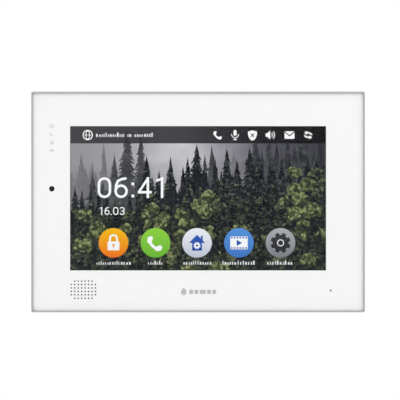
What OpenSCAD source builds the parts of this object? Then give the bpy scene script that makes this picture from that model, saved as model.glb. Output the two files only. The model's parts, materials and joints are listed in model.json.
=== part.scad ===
// Wall-hung video intercom monitor with a 10.1 inch touch display.
// +Z is up, the front glass faces -Y and the wall is the plane y = 0.
// The origin is the centre of the wall bracket's screw circle, on the wall.

/* [Body] */
// Width of the front frame
body_w = 291; // [288:0.5:296]
// Height of the front frame
body_h = 192.5; // [191:0.5:196]
// Distance from the wall to the front edge of the frame
body_depth = 26; // [26:0.5:30]
// Outer corner radius of the frame
corner_r = 1.6; // [1.4:0.1:2.4]
// Width of the frame's edge beside the glass
frame_lip = 1.4; // [1.2:0.1:1.6]
// Depth of the frame's side wall
frame_depth = 11; // [10.5:0.5:11]

/* [Display] */
// Width of the picture
screen_w = 222.7; // [218:0.1:223]
// Height of the picture
screen_h = 125.3; // [123:0.1:126]
// Height of the picture's centre above the body's centre
screen_z = 3.2; // [3:0.1:3.4]
// Thickness of the front glass
glass_t = 2; // [2:0.1:2.2]

/* [Front details] */
// Distance of the camera and the indicators from the middle
side_x = 127.6; // [127:0.1:128]
// Height of the camera
camera_z = 11.5; // [10:0.5:13]
// Diameter of the clear camera window
camera_d = 4.8; // [4.4:0.1:5.2]
// Height of the top indicator
indicator_z = 66.2; // [66:0.1:66.4]
// Spacing of the indicators
indicator_pitch = 7.07; // [7:0.01:7.1]
// Distance of the speaker from the middle
grille_x = 100; // [98:0.5:101]
// Distance of the speaker below the middle
grille_z = 76.5; // [76.4:0.1:76.8]
// Spacing of the speaker holes
grille_pitch = 3; // [2.8:0.1:3]
// Diameter of the speaker holes
grille_hole_d = 1.3; // [1:0.1:1.4]
// Distance of the microphone hole from the middle
mic_x = 115.7; // [112:0.1:118]
// Distance of the microphone hole below the middle
mic_z = 77.2; // [76.5:0.1:78]
// Diameter of the microphone hole
mic_hole_d = 1.5; // [1.2:0.1:1.6]

/* [Wall bracket] */
// Width of the bracket
bracket_w = 124; // [122:1:126]
// Height of the bracket
bracket_h = 104; // [102:1:106]
// Thickness of the bracket's sheet steel
sheet_t = 1.5; // [1.2:0.1:1.5]
// Side of the square cable opening
cable_opening = 48; // [44:1:50]
// Diameter of the circle of wall box screws
box_circle_d = 60; // [60:1:62]
// Width of the rectangle of wall screws
wall_screw_w = 100; // [98:1:102]
// Height of the rectangle of wall screws
wall_screw_h = 84; // [82:1:86]
// Diameter of all the bracket's screw holes
screw_hole_d = 4.5; // [4:0.1:4.8]
// Height that the monitor is lifted by to leave its hooks
lift = 6; // [5.5:0.1:6]

/* [Hidden] */
$fn = 48;
eps = 0.01;

// Depths, from the front edge back towards the wall.
front_y = -body_depth;
glass_front = front_y + 0.2;
glass_back = glass_front + glass_t;
mask_back = glass_back + 0.15;
ledge_front = mask_back + 0.35;
ledge_back = ledge_front + 1.2;
carrier_back = ledge_back + 1.5;
sensor_back = mask_back + 0.9;
lcd_front = sensor_back + 0.15;
cell_front = lcd_front + 0.3;
cell_back = cell_front + 1.1;
films_back = cell_back + 0.5;
guide_back = films_back + 2.2;
tray_back = guide_back + 0.4;
plate_front = tray_back + 0.9;
plate_back = plate_front + 0.8;
board_front = plate_back + 1.3;
board_back = board_front + 1.6;
frame_back = front_y + frame_depth;
flange_back = frame_back + 2;
cover_back = -2;
recess_back = cover_back - 5;
recess_front = recess_back - 2;

// Frame, glass and carrier outlines.
opening_w = body_w - 2 * frame_lip;
opening_h = body_h - 2 * frame_lip;
opening_r = 0.6;
ledge_width = 6;
glass_gap = 0.15;
glass_w = opening_w - 2 * glass_gap;
glass_h = opening_h - 2 * glass_gap;
carrier_w = opening_w - 0.6;
carrier_h = opening_h - 0.6;
window_edge = 0.3;
rib_t = 1.2;

// Display module.
lcd_w = 235;
lcd_h = 138;
lcd_wall = 0.3;
lcd_fit = 0.3;
flex_t = 0.12;

// Speaker grille and speaker.
grille_columns = 8;
grille_rows = 6;
speaker_w = 30;
speaker_h = 18;
speaker_front = mask_back + 0.75;
speaker_back = speaker_front + 4.2;
speaker_fit = 0.15;
magnet_w = 17.8;
magnet_h = 9.8;
coil_gap = 0.4;

// Main board, with its rear face towards the wall.
board_w = 200;
board_h = 110;
board_z = 5;
hole_inset = 5;
bay_w = 100;
bay_low = -30;
bay_high = 44;
bay_wall = 1.5;
chip_x = -80.5;
chip_z = 15;

// Connectors in the cable bay.
jack_x = -28;
jack_low = 25;
jack_w = 16.2;
jack_l = 16;
jack_back = cover_back;
jack_contacts = 8;
contact_pitch = 1.02;
power_x = 4;
power_pitch = 3.96;
alarm_x = 29;
alarm_pins = 10;
alarm_pitch = 2.5;
header_z = 34;
lead_socket_x = 84;
lead_socket_z = -46;
lead_d = 1;
pin_t = 0.64;
socket_x = 51.8;
socket_z = -12;
card_w = 11;
card_l = 15;
card_out = 3;
reset_x = -42;
reset_z = -22;

// Side board with the camera and the four indicators.
indicators = 4;
pipe_d = 3;
side_board_front = carrier_back + 1.2;
side_board_back = side_board_front + 0.8;
side_low = 4;
side_high = 71;
side_pins = [24, 36];
side_flex_z = 12;
camera_w = 8.5;

// Rear cover and bracket.
box_w = 262;
box_h = 165;
box_chamfer = 3;
wall_t = 2;
recess_w = bracket_w + 6;
recess_top = bracket_h / 2 + 3;
recess_low = -bracket_h / 2 - lift - 3;
hook_z = [34, -34];
hook_neck = 5;
hook_reach = recess_front - 2.5;
bracket_rim = 5;
vent_pitch = 5;
vents_each_side = 15;

// Screw sizes and places, as [x, z].
screw_d = 2.4;
pilot_d = 2.5;
clear_d = 3.2;
carrier_points = concat(
    [for (x = [-1, 1], z = [-1, 1]) [x * 140.3, z * 45]],
    [for (x = [-1, 1], z = [-1, 1]) [x * 95, z * 91.2]]);
plate_points = concat(
    [for (x = [-100, 0, 100]) [x, screen_z + 74.2]],
    [for (x = [-60, 0, 60]) [x, screen_z - 74.2]]);
board_points = [for (x = [-1, 0, 1], z = [-1, 1])
    [x * (board_w / 2 - hole_inset), board_z + z * (board_h / 2 - hole_inset)]];
cover_points = concat(
    [for (x = [-1, 1], z = [-1, 1]) [x * 137.5, z * 88.5]],
    [for (x = [-1, 1], z = [-1, 1]) [x * 50, z * 88.5]],
    [for (x = [-1, 1]) [x * 137.5, -25]]);
bumper_points = [for (x = [-1, 1], z = [-1, 1]) [x * 116, z * 68]];

// ---------------------------------------------------------------- helpers

// Extrudes a shape drawn in X and Z from y = front to y = back.
module slab(front, back) {
    translate([0, back, 0])
        rotate([90, 0, 0])
            linear_extrude(back - front)
                children();
}

// Extrudes a shape drawn in Y and Z along X, centred on x.
module along_x(x, width) {
    translate([x - width / 2, 0, 0])
        rotate([90, 0, 90])
            linear_extrude(width)
                children();
}

// Box centred on [x, z] from y = front to y = back.
module block(x, z, w, h, front, back) {
    translate([x - w / 2, front, z - h / 2])
        cube([w, back - front, h]);
}

// Round bar along Y, centred on [x, z].
module rod(x, z, d, front, back) {
    translate([x, back, z])
        rotate([90, 0, 0])
            cylinder(d = d, h = back - front);
}

// Rectangle with round corners.
module rounded(w, h, r) {
    square([w - 2 * r, h], center = true);
    square([w, h - 2 * r], center = true);
    for (x = [-1, 1], z = [-1, 1])
        translate([x * (w / 2 - r), z * (h / 2 - r)])
            circle(r);
}

// Slot shape with half-round ends, lying along X.
module racetrack(w, h) {
    square([w - h, h], center = true);
    for (x = [-1, 1])
        translate([x * (w - h) / 2, 0])
            circle(d = h);
}

// Flat strip of even thickness that follows a line of points.
function side_of(a, b) = [a.y - b.y, b.x - a.x] / norm(b - a);
function mitre(p, i) =
    let (before = side_of(p[max(i - 1, 0)], p[max(i, 1)]),
         last = len(p) - 1,
         after = side_of(p[min(i, last - 1)], p[min(i + 1, last)]),
         sum = before + after)
    2 * sum / (sum * sum);
function shifted(p, d) = [for (i = [0 : len(p) - 1]) p[i] + d * mitre(p, i)];
function reversed(p) = [for (i = [len(p) - 1 : -1 : 0]) p[i]];
module strip(points, t) {
    polygon(concat(shifted(points, t / 2), reversed(shifted(points, -t / 2))));
}

// Round wire through a list of points.
module wire(points, d) {
    for (i = [0 : len(points) - 2])
        hull()
            for (p = [points[i], points[i + 1]])
                translate(p)
                    sphere(d = d, $fn = 10);
}

// Pan head screw with a cross slot, its head resting on y = seat.
module pan_screw(x, z, seat, tip, shaft, head, head_h) {
    difference() {
        union() {
            rod(x, z, head, seat, seat + head_h);
            rod(x, z, shaft, tip, seat + eps);
        }
        block(x, z, head * 0.62, 0.6, seat + head_h * 0.45, seat + head_h + 1);
        block(x, z, 0.6, head * 0.62, seat + head_h * 0.45, seat + head_h + 1);
    }
}

// The speaker's rows of holes, without the four corner holes.
module grille_holes() {
    for (i = [0 : grille_columns - 1], j = [0 : grille_rows - 1]) {
        corner = (i == 0 || i == grille_columns - 1)
            && (j == 0 || j == grille_rows - 1);
        if (!corner)
            translate([-grille_x + (i - (grille_columns - 1) / 2) * grille_pitch,
                       -grille_z + (j - (grille_rows - 1) / 2) * grille_pitch])
                circle(d = grille_hole_d);
    }
}

module mic_hole() {
    translate([mic_x, -mic_z])
        circle(d = mic_hole_d);
}

// Ring between two round-cornered rectangles.
module ring(w, h, r, wall) {
    difference() {
        rounded(w, h, r);
        rounded(w - 2 * wall, h - 2 * wall, max(r - wall, 0.3));
    }
}

// ---------------------------------------------------------------- front

module bezel_frame() color("#a9abae") {
    difference() {
        union() {
            slab(front_y, frame_back)
                ring(body_w, body_h, corner_r, frame_lip);
            slab(ledge_front, ledge_back)
                ring(opening_w + 1, opening_h + 1, opening_r + 0.5, ledge_width + 0.5);
        }
        for (p = carrier_points)
            rod(p.x, p.y, 1.7, ledge_back - 1, ledge_back + 1);
    }
}

module front_glass() color("#f6f7f7") {
    slab(glass_front, glass_back)
        difference() {
            rounded(glass_w, glass_h, opening_r);
            grille_holes();
            mic_hole();
        }
}

// White ink on the back of the glass. The picture and the camera have clear windows,
// and the indicators shine through the ink.
module glass_mask() color("white") {
    slab(glass_back, mask_back)
        difference() {
            rounded(glass_w, glass_h, opening_r);
            translate([0, screen_z])
                square([screen_w + 2 * window_edge, screen_h + 2 * window_edge],
                       center = true);
            translate([-side_x, camera_z])
                circle(d = camera_d);
            grille_holes();
            mic_hole();
        }
}

module glass_tape() color("#303234") {
    slab(mask_back, ledge_front)
        ring(glass_w - 1, glass_h - 1, opening_r, ledge_width - 1.2);
}

module carrier_frame() color("#2c2e31") {
    difference() {
        union() {
            slab(ledge_back, carrier_back)
                rounded(carrier_w, carrier_h, 1);
            slab(carrier_back - 0.5, plate_front)
                ring(carrier_w, carrier_h, 1, rib_t);
            translate([0, 0, screen_z])
                slab(carrier_back - 0.5, tray_back)
                    ring(lcd_w + 2 * lcd_fit + 2 * rib_t, lcd_h + 2 * lcd_fit + 2 * rib_t,
                         1.5, rib_t);
            block(-grille_x, -grille_z, speaker_w + 2.3, speaker_h + 2.3,
                  carrier_back - 0.5, speaker_back);
            for (p = cover_points)
                rod(p.x, p.y, 6.5, carrier_back - 0.5, frame_back - 0.05);
            for (p = plate_points)
                rod(p.x, p.y, 6, carrier_back - 0.5, plate_front);
            for (z = side_pins) {
                rod(-side_x, z, 4, carrier_back - 0.5, side_board_front);
                rod(-side_x, z, 1.8, carrier_back - 0.5, side_board_back + 0.5);
            }
        }
        block(0, screen_z, lcd_w + 2 * lcd_fit, lcd_h + 2 * lcd_fit,
              ledge_back - 1, plate_back);
        block(-grille_x, -grille_z, speaker_w + 2 * speaker_fit, speaker_h + 2 * speaker_fit,
              ledge_back - 1, plate_back);
        block(40, screen_z + lcd_h / 2 + 3, 16, 6, ledge_back - 1, carrier_back + 1);
        block(-side_x, indicator_z - 1.5 * indicator_pitch, 7.4, 29.6,
              ledge_back - 1, carrier_back + 1);
        block(-side_x, camera_z, camera_w + 0.6, camera_w + 0.6,
              ledge_back - 1, carrier_back + 1);
        rod(mic_x, -mic_z, 8.8, ledge_back - 1, carrier_back + 1);
        for (p = cover_points)
            rod(p.x, p.y, pilot_d, carrier_back, frame_back + 1);
        for (p = plate_points)
            rod(p.x, p.y, pilot_d, carrier_back, plate_back);
        for (p = carrier_points)
            rod(p.x, p.y, 1.9, ledge_back - 1, carrier_back + 1);
    }
}

module carrier_screws() color("#8d9094") {
    for (p = carrier_points)
        pan_screw(p.x, p.y, carrier_back, ledge_back - 0.9, 1.6, 3.6, 1.2);
}

// ---------------------------------------------------------------- display

module touch_sensor() color("#c9d6dc", 0.4) {
    block(0, screen_z, lcd_w - 2, lcd_h - 1, mask_back, sensor_back);
}

module touch_flex() color("#b5742a") {
    top = screen_z + lcd_h / 2;
    along_x(40, 12)
        strip([[sensor_back + 0.075, top - 3], [sensor_back + 0.075, top + 1.6],
               [carrier_back - 0.9, top + 3], [plate_front, top + 3],
               [board_back + 0.9, 64.5], [board_back + 0.9, 58.6]], flex_t);
}

module lcd_bezel() color("#7f8286") {
    translate([0, 0, screen_z]) {
        slab(lcd_front, cell_front)
            difference() {
                square([lcd_w, lcd_h], center = true);
                square([screen_w + 3, screen_h + 3], center = true);
            }
        slab(lcd_front, tray_back - 0.2)
            difference() {
                square([lcd_w, lcd_h], center = true);
                square([lcd_w - 2 * lcd_wall, lcd_h - 2 * lcd_wall], center = true);
            }
    }
}

module lcd_cell() color("#20262b") {
    block(0, screen_z, lcd_w - 1.2, lcd_h - 1.2, cell_front, cell_back);
}

module lcd_films() color("#eef2f4") {
    block(0, screen_z, lcd_w - 1.8, lcd_h - 1.8, cell_back, films_back);
}

module light_guide() color("#dfe9ec", 0.7) {
    block(0, screen_z + 1.6, lcd_w - 3, lcd_h - 5.2, films_back, guide_back);
}

// Strip of white LEDs along the lower edge of the light guide.
module backlight_leds() color("#f4eec2") {
    low = screen_z - lcd_h / 2;
    block(0, low + 1.2, 222, 0.6, films_back + 0.2, guide_back);
    for (i = [0 : 23])
        block((i - 11.5) * 9.2, low + 2.1, 3, 1.2, films_back + 0.4, guide_back - 0.4);
}

module backlight_tray() color("#9a9da1") {
    translate([0, 0, screen_z]) {
        slab(guide_back, tray_back)
            square([lcd_w - 0.8, lcd_h - 0.8], center = true);
        slab(cell_back, guide_back + eps)
            difference() {
                square([lcd_w - 0.8, lcd_h - 0.8], center = true);
                square([lcd_w - 1.4, lcd_h - 1.4], center = true);
            }
    }
}

module lcd_driver_board() color("#1f6b3f") {
    low = screen_z - lcd_h / 2;
    block(-20, low + 7.5, 150, 11, tray_back + 0.05, tray_back + 0.65);
}

module lcd_ribbon() color("#e8e2d0") {
    along_x(-35, 20)
        strip([[tray_back + 0.75, -59], [tray_back + 0.75, -55.6],
               [plate_back + 0.7, -53.4], [board_back + 0.9, -52],
               [board_back + 0.9, -48.7]], flex_t);
}

// Sheet steel plate that backs the display and carries the main board.
module chassis_plate() color("#b9bcc0") {
    difference() {
        union() {
            block(0, screen_z, lcd_w - 1, lcd_h + 1, plate_front, plate_back);
            for (p = plate_points)
                block(p.x, (p.y + screen_z) / 2, 12, abs(p.y - screen_z) + 8,
                      plate_front, plate_back);
            for (p = board_points)
                rod(p.x, p.y, 6, plate_back - 0.3, board_front);
        }
        for (p = plate_points)
            rod(p.x, p.y, clear_d, plate_front - 1, plate_back + 1);
        for (p = board_points)
            rod(p.x, p.y, pilot_d, plate_front - 1, board_front + 1);
        block(-35, -56, 24, 7, plate_front - 1, plate_back + 1);
        for (x = [-70, -30, 30, 70])
            rod(x, 20, 18, plate_front - 1, plate_back + 1);
    }
}

// ---------------------------------------------------------------- main board

module main_board() color("#176b3a") {
    slab(board_front, board_back)
        difference() {
            translate([0, board_z])
                rounded(board_w, board_h, 3);
            for (p = board_points)
                translate(p)
                    circle(d = clear_d);
        }
}

module board_screws() color("#c5c8cb") {
    for (p = board_points)
        pan_screw(p.x, p.y, board_back, plate_front + 0.2, screw_d, 5.4, 1.9);
    for (p = plate_points)
        pan_screw(p.x, p.y, plate_back, carrier_back + 0.4, screw_d, 5.4, 1.9);
}

module processor() color("#26282b") {
    block(chip_x, chip_z, 17, 17, board_back, board_back + 1.3);
}

module thermal_pad() color("#7fa8c9") {
    block(chip_x, chip_z, 16, 16, board_back + 1.3, board_back + 1.8);
}

module heat_sink() color("#3a3d41") {
    base = board_back + 1.8;
    block(chip_x, chip_z, 25, 40, base, base + 1.6);
    for (i = [-4 : 4])
        block(chip_x + i * 2.9, chip_z, 1, 40, base + 1.5, base + 6.2);
}

module memory_chips() color("#222427") {
    for (z = [8, 26])
        block(-59, z, 9, 14, board_back, board_back + 1);
    block(chip_x, -20, 11.5, 13, board_back, board_back + 1);
}

module network_transformer() color("#1d1f21") {
    block(jack_x, bay_high + 8.3, 16, 12, board_back, board_back + 3.4);
}

module power_magnetics() color("#3b3f44") {
    block(82, 38, 14, 13, board_back, board_back + 8);
    for (x = [75, 85, 95])
        slab(board_back, board_back + 4)
            translate([x, 20])
                rounded(7, 7, 1);
}

module filter_capacitors() color("#c2c6cb") {
    for (x = [75, 84, 93]) {
        block(x, 6, 6.6, 6.6, board_back, board_back + 0.8);
        rod(x, 6, 6.3, board_back + 0.7, board_back + 7.7);
    }
}

module coin_cell_holder() color("#2a2c2f") {
    difference() {
        slab(board_back, board_back + 4.2)
            translate([82, -24])
                rounded(24, 21.6, 3);
        rod(82, -24, 20.3, board_back + 0.7, board_back + 5);
        block(82, -24, 8, 30, board_back + 2.2, board_back + 5);
    }
}

module coin_cell() color("#cfd2d5") {
    rod(82, -24, 20, board_back + 0.7, board_back + 3.9);
}

module board_connectors() color("#e9e4d3") {
    block(-35, -46.5, 22, 4, board_back, board_back + 1.8);
    block(40, 56.4, 14, 4, board_back, board_back + 1.8);
    block(-97.4, side_flex_z, 4, 13, board_back, board_back + 1.8);
    for (x = [-1, 1] * lead_socket_x)
        difference() {
            block(x, lead_socket_z, 7.5, 4.6, board_back, board_back + 4);
            block(x, lead_socket_z, 5.9, 3, board_back + 1.4, board_back + 5);
        }
}

// ---------------------------------------------------------------- cable bay

// Space for the network plug, with the slot for its latch.
module jack_mouth(depth) {
    translate([0, 0, jack_low - 1]) {
        translate([jack_x - 5.95, board_back + 1.2, 0])
            cube([11.9, 6.8, depth + 1]);
        translate([jack_x - 3.1, board_back + 7.9, 0])
            cube([6.2, 2, depth + 1]);
    }
}

module rj45_shield() color("#c9ccd0") {
    difference() {
        block(jack_x, jack_low + jack_l / 2, jack_w, jack_l, board_back, jack_back);
        block(jack_x, jack_low + jack_l / 2, jack_w - 0.6, jack_l - 0.6,
              board_back - 1, jack_back - 0.3);
        jack_mouth(4);
    }
}

module rj45_insert() color("#232527") {
    difference() {
        block(jack_x, jack_low + jack_l / 2, jack_w - 0.7, jack_l - 0.7,
              board_back, jack_back - 0.35);
        jack_mouth(12.5);
    }
}

module rj45_contacts() color("#d8b04a") {
    for (i = [0 : jack_contacts - 1])
        translate([jack_x + (i - (jack_contacts - 1) / 2) * contact_pitch,
                   board_back + 1.35, jack_low + 2.5])
            rotate([-8, 0, 0])
                translate([-0.2, 0, 0])
                    cube([0.4, 0.35, 8.6]);
}

// Open shroud that stands on the board around a row of pins.
module shroud(x, pins, pitch, w, h, tall, wall) {
    difference() {
        block(x, header_z, w, h, board_back, board_back + tall);
        block(x, header_z, w - 2 * wall, h - 2 * wall, board_back + 1.5, board_back + tall + 1);
        for (i = [0 : pins - 1])
            block(x + (i - (pins - 1) / 2) * pitch, header_z, pin_t + 0.1, pin_t + 0.1,
                  board_back - 1, board_back + 2);
        block(x, header_z - h / 2, w * 0.3, 2 * wall + 1, board_back + 3, board_back + tall + 1);
    }
}

module pin_headers() color("#efece2") {
    shroud(power_x, 2, power_pitch, 9.8, 8.5, 8, 1);
    shroud(alarm_x, alarm_pins, alarm_pitch, 27.4, 5.8, 7, 0.7);
}

module header_pins() color("#d5d7d9") {
    for (i = [0, 1])
        block(power_x + (i - 0.5) * power_pitch, header_z, pin_t, pin_t,
              board_back, board_back + 6.5);
    for (i = [0 : alarm_pins - 1])
        block(alarm_x + (i - (alarm_pins - 1) / 2) * alarm_pitch, header_z, pin_t, pin_t,
              board_back, board_back + 5.5);
}

module card_socket() color("#c3c6c9") {
    difference() {
        block(socket_x + 7.5, socket_z, 15, 14, board_back, board_back + 1.9);
        block(socket_x + 6.7, socket_z, 15.6, card_w + 0.4,
              board_back + 0.3, board_back + 1.55);
        block(socket_x, socket_z, 5, 6, board_back + 1, board_back + 3);
    }
}

module memory_card() color("#1f2123") {
    x = socket_x - card_out;
    difference() {
        union() {
            block(x + card_l / 2, socket_z, card_l, card_w,
                  board_back + 0.45, board_back + 1.15);
            block(x + 0.6, socket_z, 1.2, card_w, board_back + 0.45, board_back + 1.45);
        }
        translate([x + card_l, board_back, socket_z + card_w / 2])
            rotate([0, 45, 0])
                cube([1.8, 4, 1.8], center = true);
    }
}

module reset_switch() color("#2b2d30") {
    difference() {
        block(reset_x, reset_z, 6, 6, board_back, board_back + 3.5);
        rod(reset_x, reset_z, 3.7, board_back + 2, board_back + 4);
    }
}

module reset_button() color("#b43a30") {
    rod(reset_x, reset_z, 3.5, board_back + 2.5, board_back + 5.1);
}

// ---------------------------------------------------------------- speaker

module speaker_mesh() color("#17181a") {
    block(-grille_x, -grille_z, speaker_w, speaker_h, mask_back, mask_back + 0.2);
}

module speaker_gasket() color("#26282a") {
    translate([-grille_x, 0, -grille_z])
        slab(mask_back + 0.2, speaker_front)
            ring(speaker_w, speaker_h, 1.2, 0.6);
}

module speaker_basket() color("#33363a") {
    translate([-grille_x, 0, -grille_z]) {
        slab(speaker_front, speaker_back - 0.6)
            ring(speaker_w, speaker_h, 1.2, 1.5);
        slab(speaker_back - 0.7, speaker_back)
            difference() {
                rounded(speaker_w, speaker_h, 1.2);
                rounded(magnet_w + 0.1, magnet_h + 0.1, 2);
                for (x = [-1, 1])
                    translate([x * 11.2, 0])
                        rounded(2.6, 9, 1);
            }
        for (x = [-1, 1])
            block(13.4, x * 4, 1.6, 2, speaker_back - 0.1, speaker_back + 0.5);
    }
}

module speaker_surround() color("#1c1d1f") {
    translate([-grille_x, 0, -grille_z])
        slab(speaker_front + 0.1, speaker_front + 0.3)
            difference() {
                racetrack(26.8, 14.8);
                racetrack(20.5, 8.5);
            }
}

// Diaphragm with its voice coil, which moves in and out.
module speaker_cone() color("#3e4146") {
    translate([-grille_x, 0, -grille_z]) {
        slab(speaker_front + 0.65, speaker_front + 1)
            racetrack(23, 11);
        slab(speaker_front + 0.9, speaker_front + 3.5)
            difference() {
                racetrack(12.6, 6.6);
                racetrack(11.6, 5.6);
            }
    }
}

module speaker_magnet() color("#b4b7bb") {
    translate([-grille_x, 0, -grille_z])
        difference() {
            slab(speaker_front + 2.4, speaker_back + 1)
                rounded(magnet_w, magnet_h, 2);
            slab(speaker_front + 2, speaker_front + 4.2)
                difference() {
                    racetrack(12.6 + 2 * coil_gap, 6.6 + 2 * coil_gap);
                    racetrack(11.6 - 2 * coil_gap, 5.6 - 2 * coil_gap);
                }
        }
}

// ---------------------------------------------------------------- microphone

module microphone() color("#c8cbce") {
    difference() {
        rod(mic_x, -mic_z, 6, mask_back + 1.45, mask_back + 3.85);
        rod(mic_x, -mic_z, 1.4, mask_back + 1, mask_back + 2.2);
    }
    for (x = [-1, 1])
        rod(mic_x + x * 1.3, -mic_z, 0.8, mask_back + 3.8, mask_back + 4.6);
}

module microphone_boot() color("#1f2022") {
    difference() {
        rod(mic_x, -mic_z, 8.6, mask_back, mask_back + 4.6);
        rod(mic_x, -mic_z, 1.6, mask_back - 1, mask_back + 2);
        rod(mic_x, -mic_z, 6.05, mask_back + 1.4, mask_back + 5);
    }
}

// Leads from the speaker and the microphone to the main board's two small sockets.
module inner_leads() color("#b03530") {
    over = board_back + 4.9;
    down = board_back + 1.95;
    for (x = [-1, 1]) {
        wire([[-grille_x + 13.4, speaker_back + 1.1, -grille_z + x * 4],
              [-lead_socket_x - x, plate_back + 1, -68.6],
              [-lead_socket_x - x, board_front, -63.5],
              [-lead_socket_x - x, over, -54],
              [-lead_socket_x - x, over, lead_socket_z],
              [-lead_socket_x - x, down, lead_socket_z]], lead_d);
        wire([[mic_x + x * 1.3, mask_back + 5.25, -mic_z],
              [108 + x * 1.3, plate_back + 1, -69.4],
              [96 + x, board_front + 0.4, -62.8],
              [lead_socket_x + x, over, -54],
              [lead_socket_x + x, over, lead_socket_z],
              [lead_socket_x + x, down, lead_socket_z]], lead_d);
    }
}

// ---------------------------------------------------------------- side board

module side_board() color("#17663a") {
    difference() {
        block(-side_x, (side_low + side_high) / 2, 10, side_high - side_low,
              side_board_front, side_board_back);
        for (z = side_pins)
            rod(-side_x, z, 2, side_board_front - 1, side_board_back + 1);
    }
}

module side_flex() color("#b5742a") {
    translate([0, 0, side_flex_z - 4.5])
        linear_extrude(9)
            strip([[-side_x + 1, side_board_back + 0.08], [-side_x + 5, side_board_back + 0.08],
                   [-119.6, plate_front + 0.6], [-116, board_front - 0.2],
                   [-103.5, board_back + 0.9], [-99.6, board_back + 0.9]], flex_t);
}

module indicator_leds() color("#f3f0d8") {
    for (i = [0 : indicators - 1])
        block(-side_x, indicator_z - i * indicator_pitch, 2, 2,
              side_board_front - 0.7, side_board_front);
}

module indicator_shield() color("#232427") {
    difference() {
        block(-side_x, indicator_z - 1.5 * indicator_pitch, 7, 29.2,
              mask_back, side_board_front);
        for (i = [0 : indicators - 1]) {
            rod(-side_x, indicator_z - i * indicator_pitch, pipe_d + 0.1,
                mask_back - 1, side_board_front);
            rod(-side_x, indicator_z - i * indicator_pitch, 4,
                side_board_front - 1, side_board_front + 1);
        }
    }
}

module light_pipes() color("#e7eef0", 0.6) {
    for (i = [0 : indicators - 1])
        rod(-side_x, indicator_z - i * indicator_pitch, pipe_d,
            mask_back, side_board_front - 1);
}

module camera_module() color("#1b1c1e") {
    difference() {
        union() {
            block(-side_x, camera_z, camera_w, camera_w, mask_back + 1.45, side_board_front);
            rod(-side_x, camera_z, 6.4, mask_back + 0.5, mask_back + 1.5);
        }
        rod(-side_x, camera_z, 3.6, mask_back, mask_back + 2.4);
    }
}

module camera_lens() color("#2a3550") {
    rod(-side_x, camera_z, 3.5, mask_back + 1.2, mask_back + 2.4);
    intersection() {
        rod(-side_x, camera_z, 3.5, mask_back, mask_back + 1.3);
        translate([-side_x, mask_back + 3.6, camera_z])
            sphere(r = 3);
    }
}

module camera_gasket() color("#1d1e20") {
    difference() {
        rod(-side_x, camera_z, 9.4, mask_back, mask_back + 1.45);
        rod(-side_x, camera_z, 6.6, mask_back - 1, mask_back + 2);
    }
}

// ---------------------------------------------------------------- rear

// Solid with the outer shape of the raised back, shrunk by inset.
module raised_box(front, back, inset) {
    hull() {
        slab(front, back - box_chamfer)
            rounded(box_w - 2 * inset, box_h - 2 * inset, 10 - inset, $fn = 32);
        slab(front, back)
            rounded(box_w - 2 * inset - 2 * box_chamfer,
                    box_h - 2 * inset - 2 * box_chamfer, 8 - inset, $fn = 32);
    }
}

// Outline of the recess for the bracket, grown by extra on each side.
module recess_outline(extra) {
    translate([0, (recess_top + recess_low) / 2])
        rounded(recess_w + 2 * extra, recess_top - recess_low + 2 * extra, 4 + extra);
}

// Outline of the bay for the cables, grown by extra on each side.
module bay_outline(extra) {
    translate([0, (bay_high + bay_low) / 2])
        rounded(bay_w + 2 * extra, bay_high - bay_low + 2 * extra, 3 + extra);
}

module vent_slots() {
    for (i = [-vents_each_side : vents_each_side]) {
        block(i * vent_pitch, 68.5, 2.2, 11, cover_back - 3, cover_back + 1);
        block(i * vent_pitch, -72, 2.2, 8, cover_back - 3, cover_back + 1);
    }
}

module rear_cover() color("#eceded") {
    difference() {
        union() {
            difference() {
                union() {
                    slab(frame_back, flange_back)
                        rounded(body_w - 0.6, body_h - 0.6, corner_r - 0.3);
                    slab(plate_front + 0.2, frame_back + 0.5)
                        ring(carrier_w, carrier_h, 1, 1.5);
                    raised_box(flange_back - 1, cover_back, 0);
                }
                raised_box(frame_back - 1, cover_back - wall_t, wall_t);
            }
            slab(recess_front, cover_back - 0.5)
                recess_outline(wall_t);
            slab(board_back + 0.1, recess_back - 0.5)
                bay_outline(bay_wall);
        }
        slab(recess_back, cover_back + 1)
            recess_outline(0);
        slab(board_back - 1, cover_back)
            bay_outline(0);
        for (x = [-1, 1], z = hook_z)
            block(x * (bracket_w - sheet_t) / 2, z + 0.1 - (hook_neck + lift + 0.6) / 2,
                  sheet_t + 1.2, hook_neck + lift + 0.6, recess_front - 1, recess_back + 1);
        block(bay_w / 2 + bay_wall / 2, socket_z, bay_wall + 2, card_w + 1,
              board_back, board_back + 1.8);
        for (p = cover_points) {
            rod(p.x, p.y, clear_d, frame_back - 1, flange_back + 1);
            rod(p.x, p.y, 6.2, flange_back - 0.8, flange_back + 1);
        }
        vent_slots();
    }
}

module cover_screws() color("#7b7e82") {
    for (p = cover_points)
        pan_screw(p.x, p.y, flange_back - 0.8, carrier_back + 1, screw_d, 5.6, 2);
}

module rating_label() color("#d9dadb") {
    translate([-98, 0, -25])
        slab(cover_back, cover_back + 0.1)
            rounded(46, 34, 1.5);
}

module wall_bumpers() color("#2b2c2e") {
    for (p = bumper_points)
        rod(p.x, p.y, 10, cover_back, -0.3);
}

// One hook, as a shape in Y and Z. Its neck passes the cover and its tip points up.
module hook_shape(z) {
    tip = recess_front - 0.3;
    polygon([[-1, z - hook_neck - 3], [-4, z - hook_neck], [hook_reach, z - hook_neck],
             [hook_reach, z + 4.2], [hook_reach + 0.8, z + 5], [tip, z + 5],
             [tip, z], [-1, z]]);
}

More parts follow.
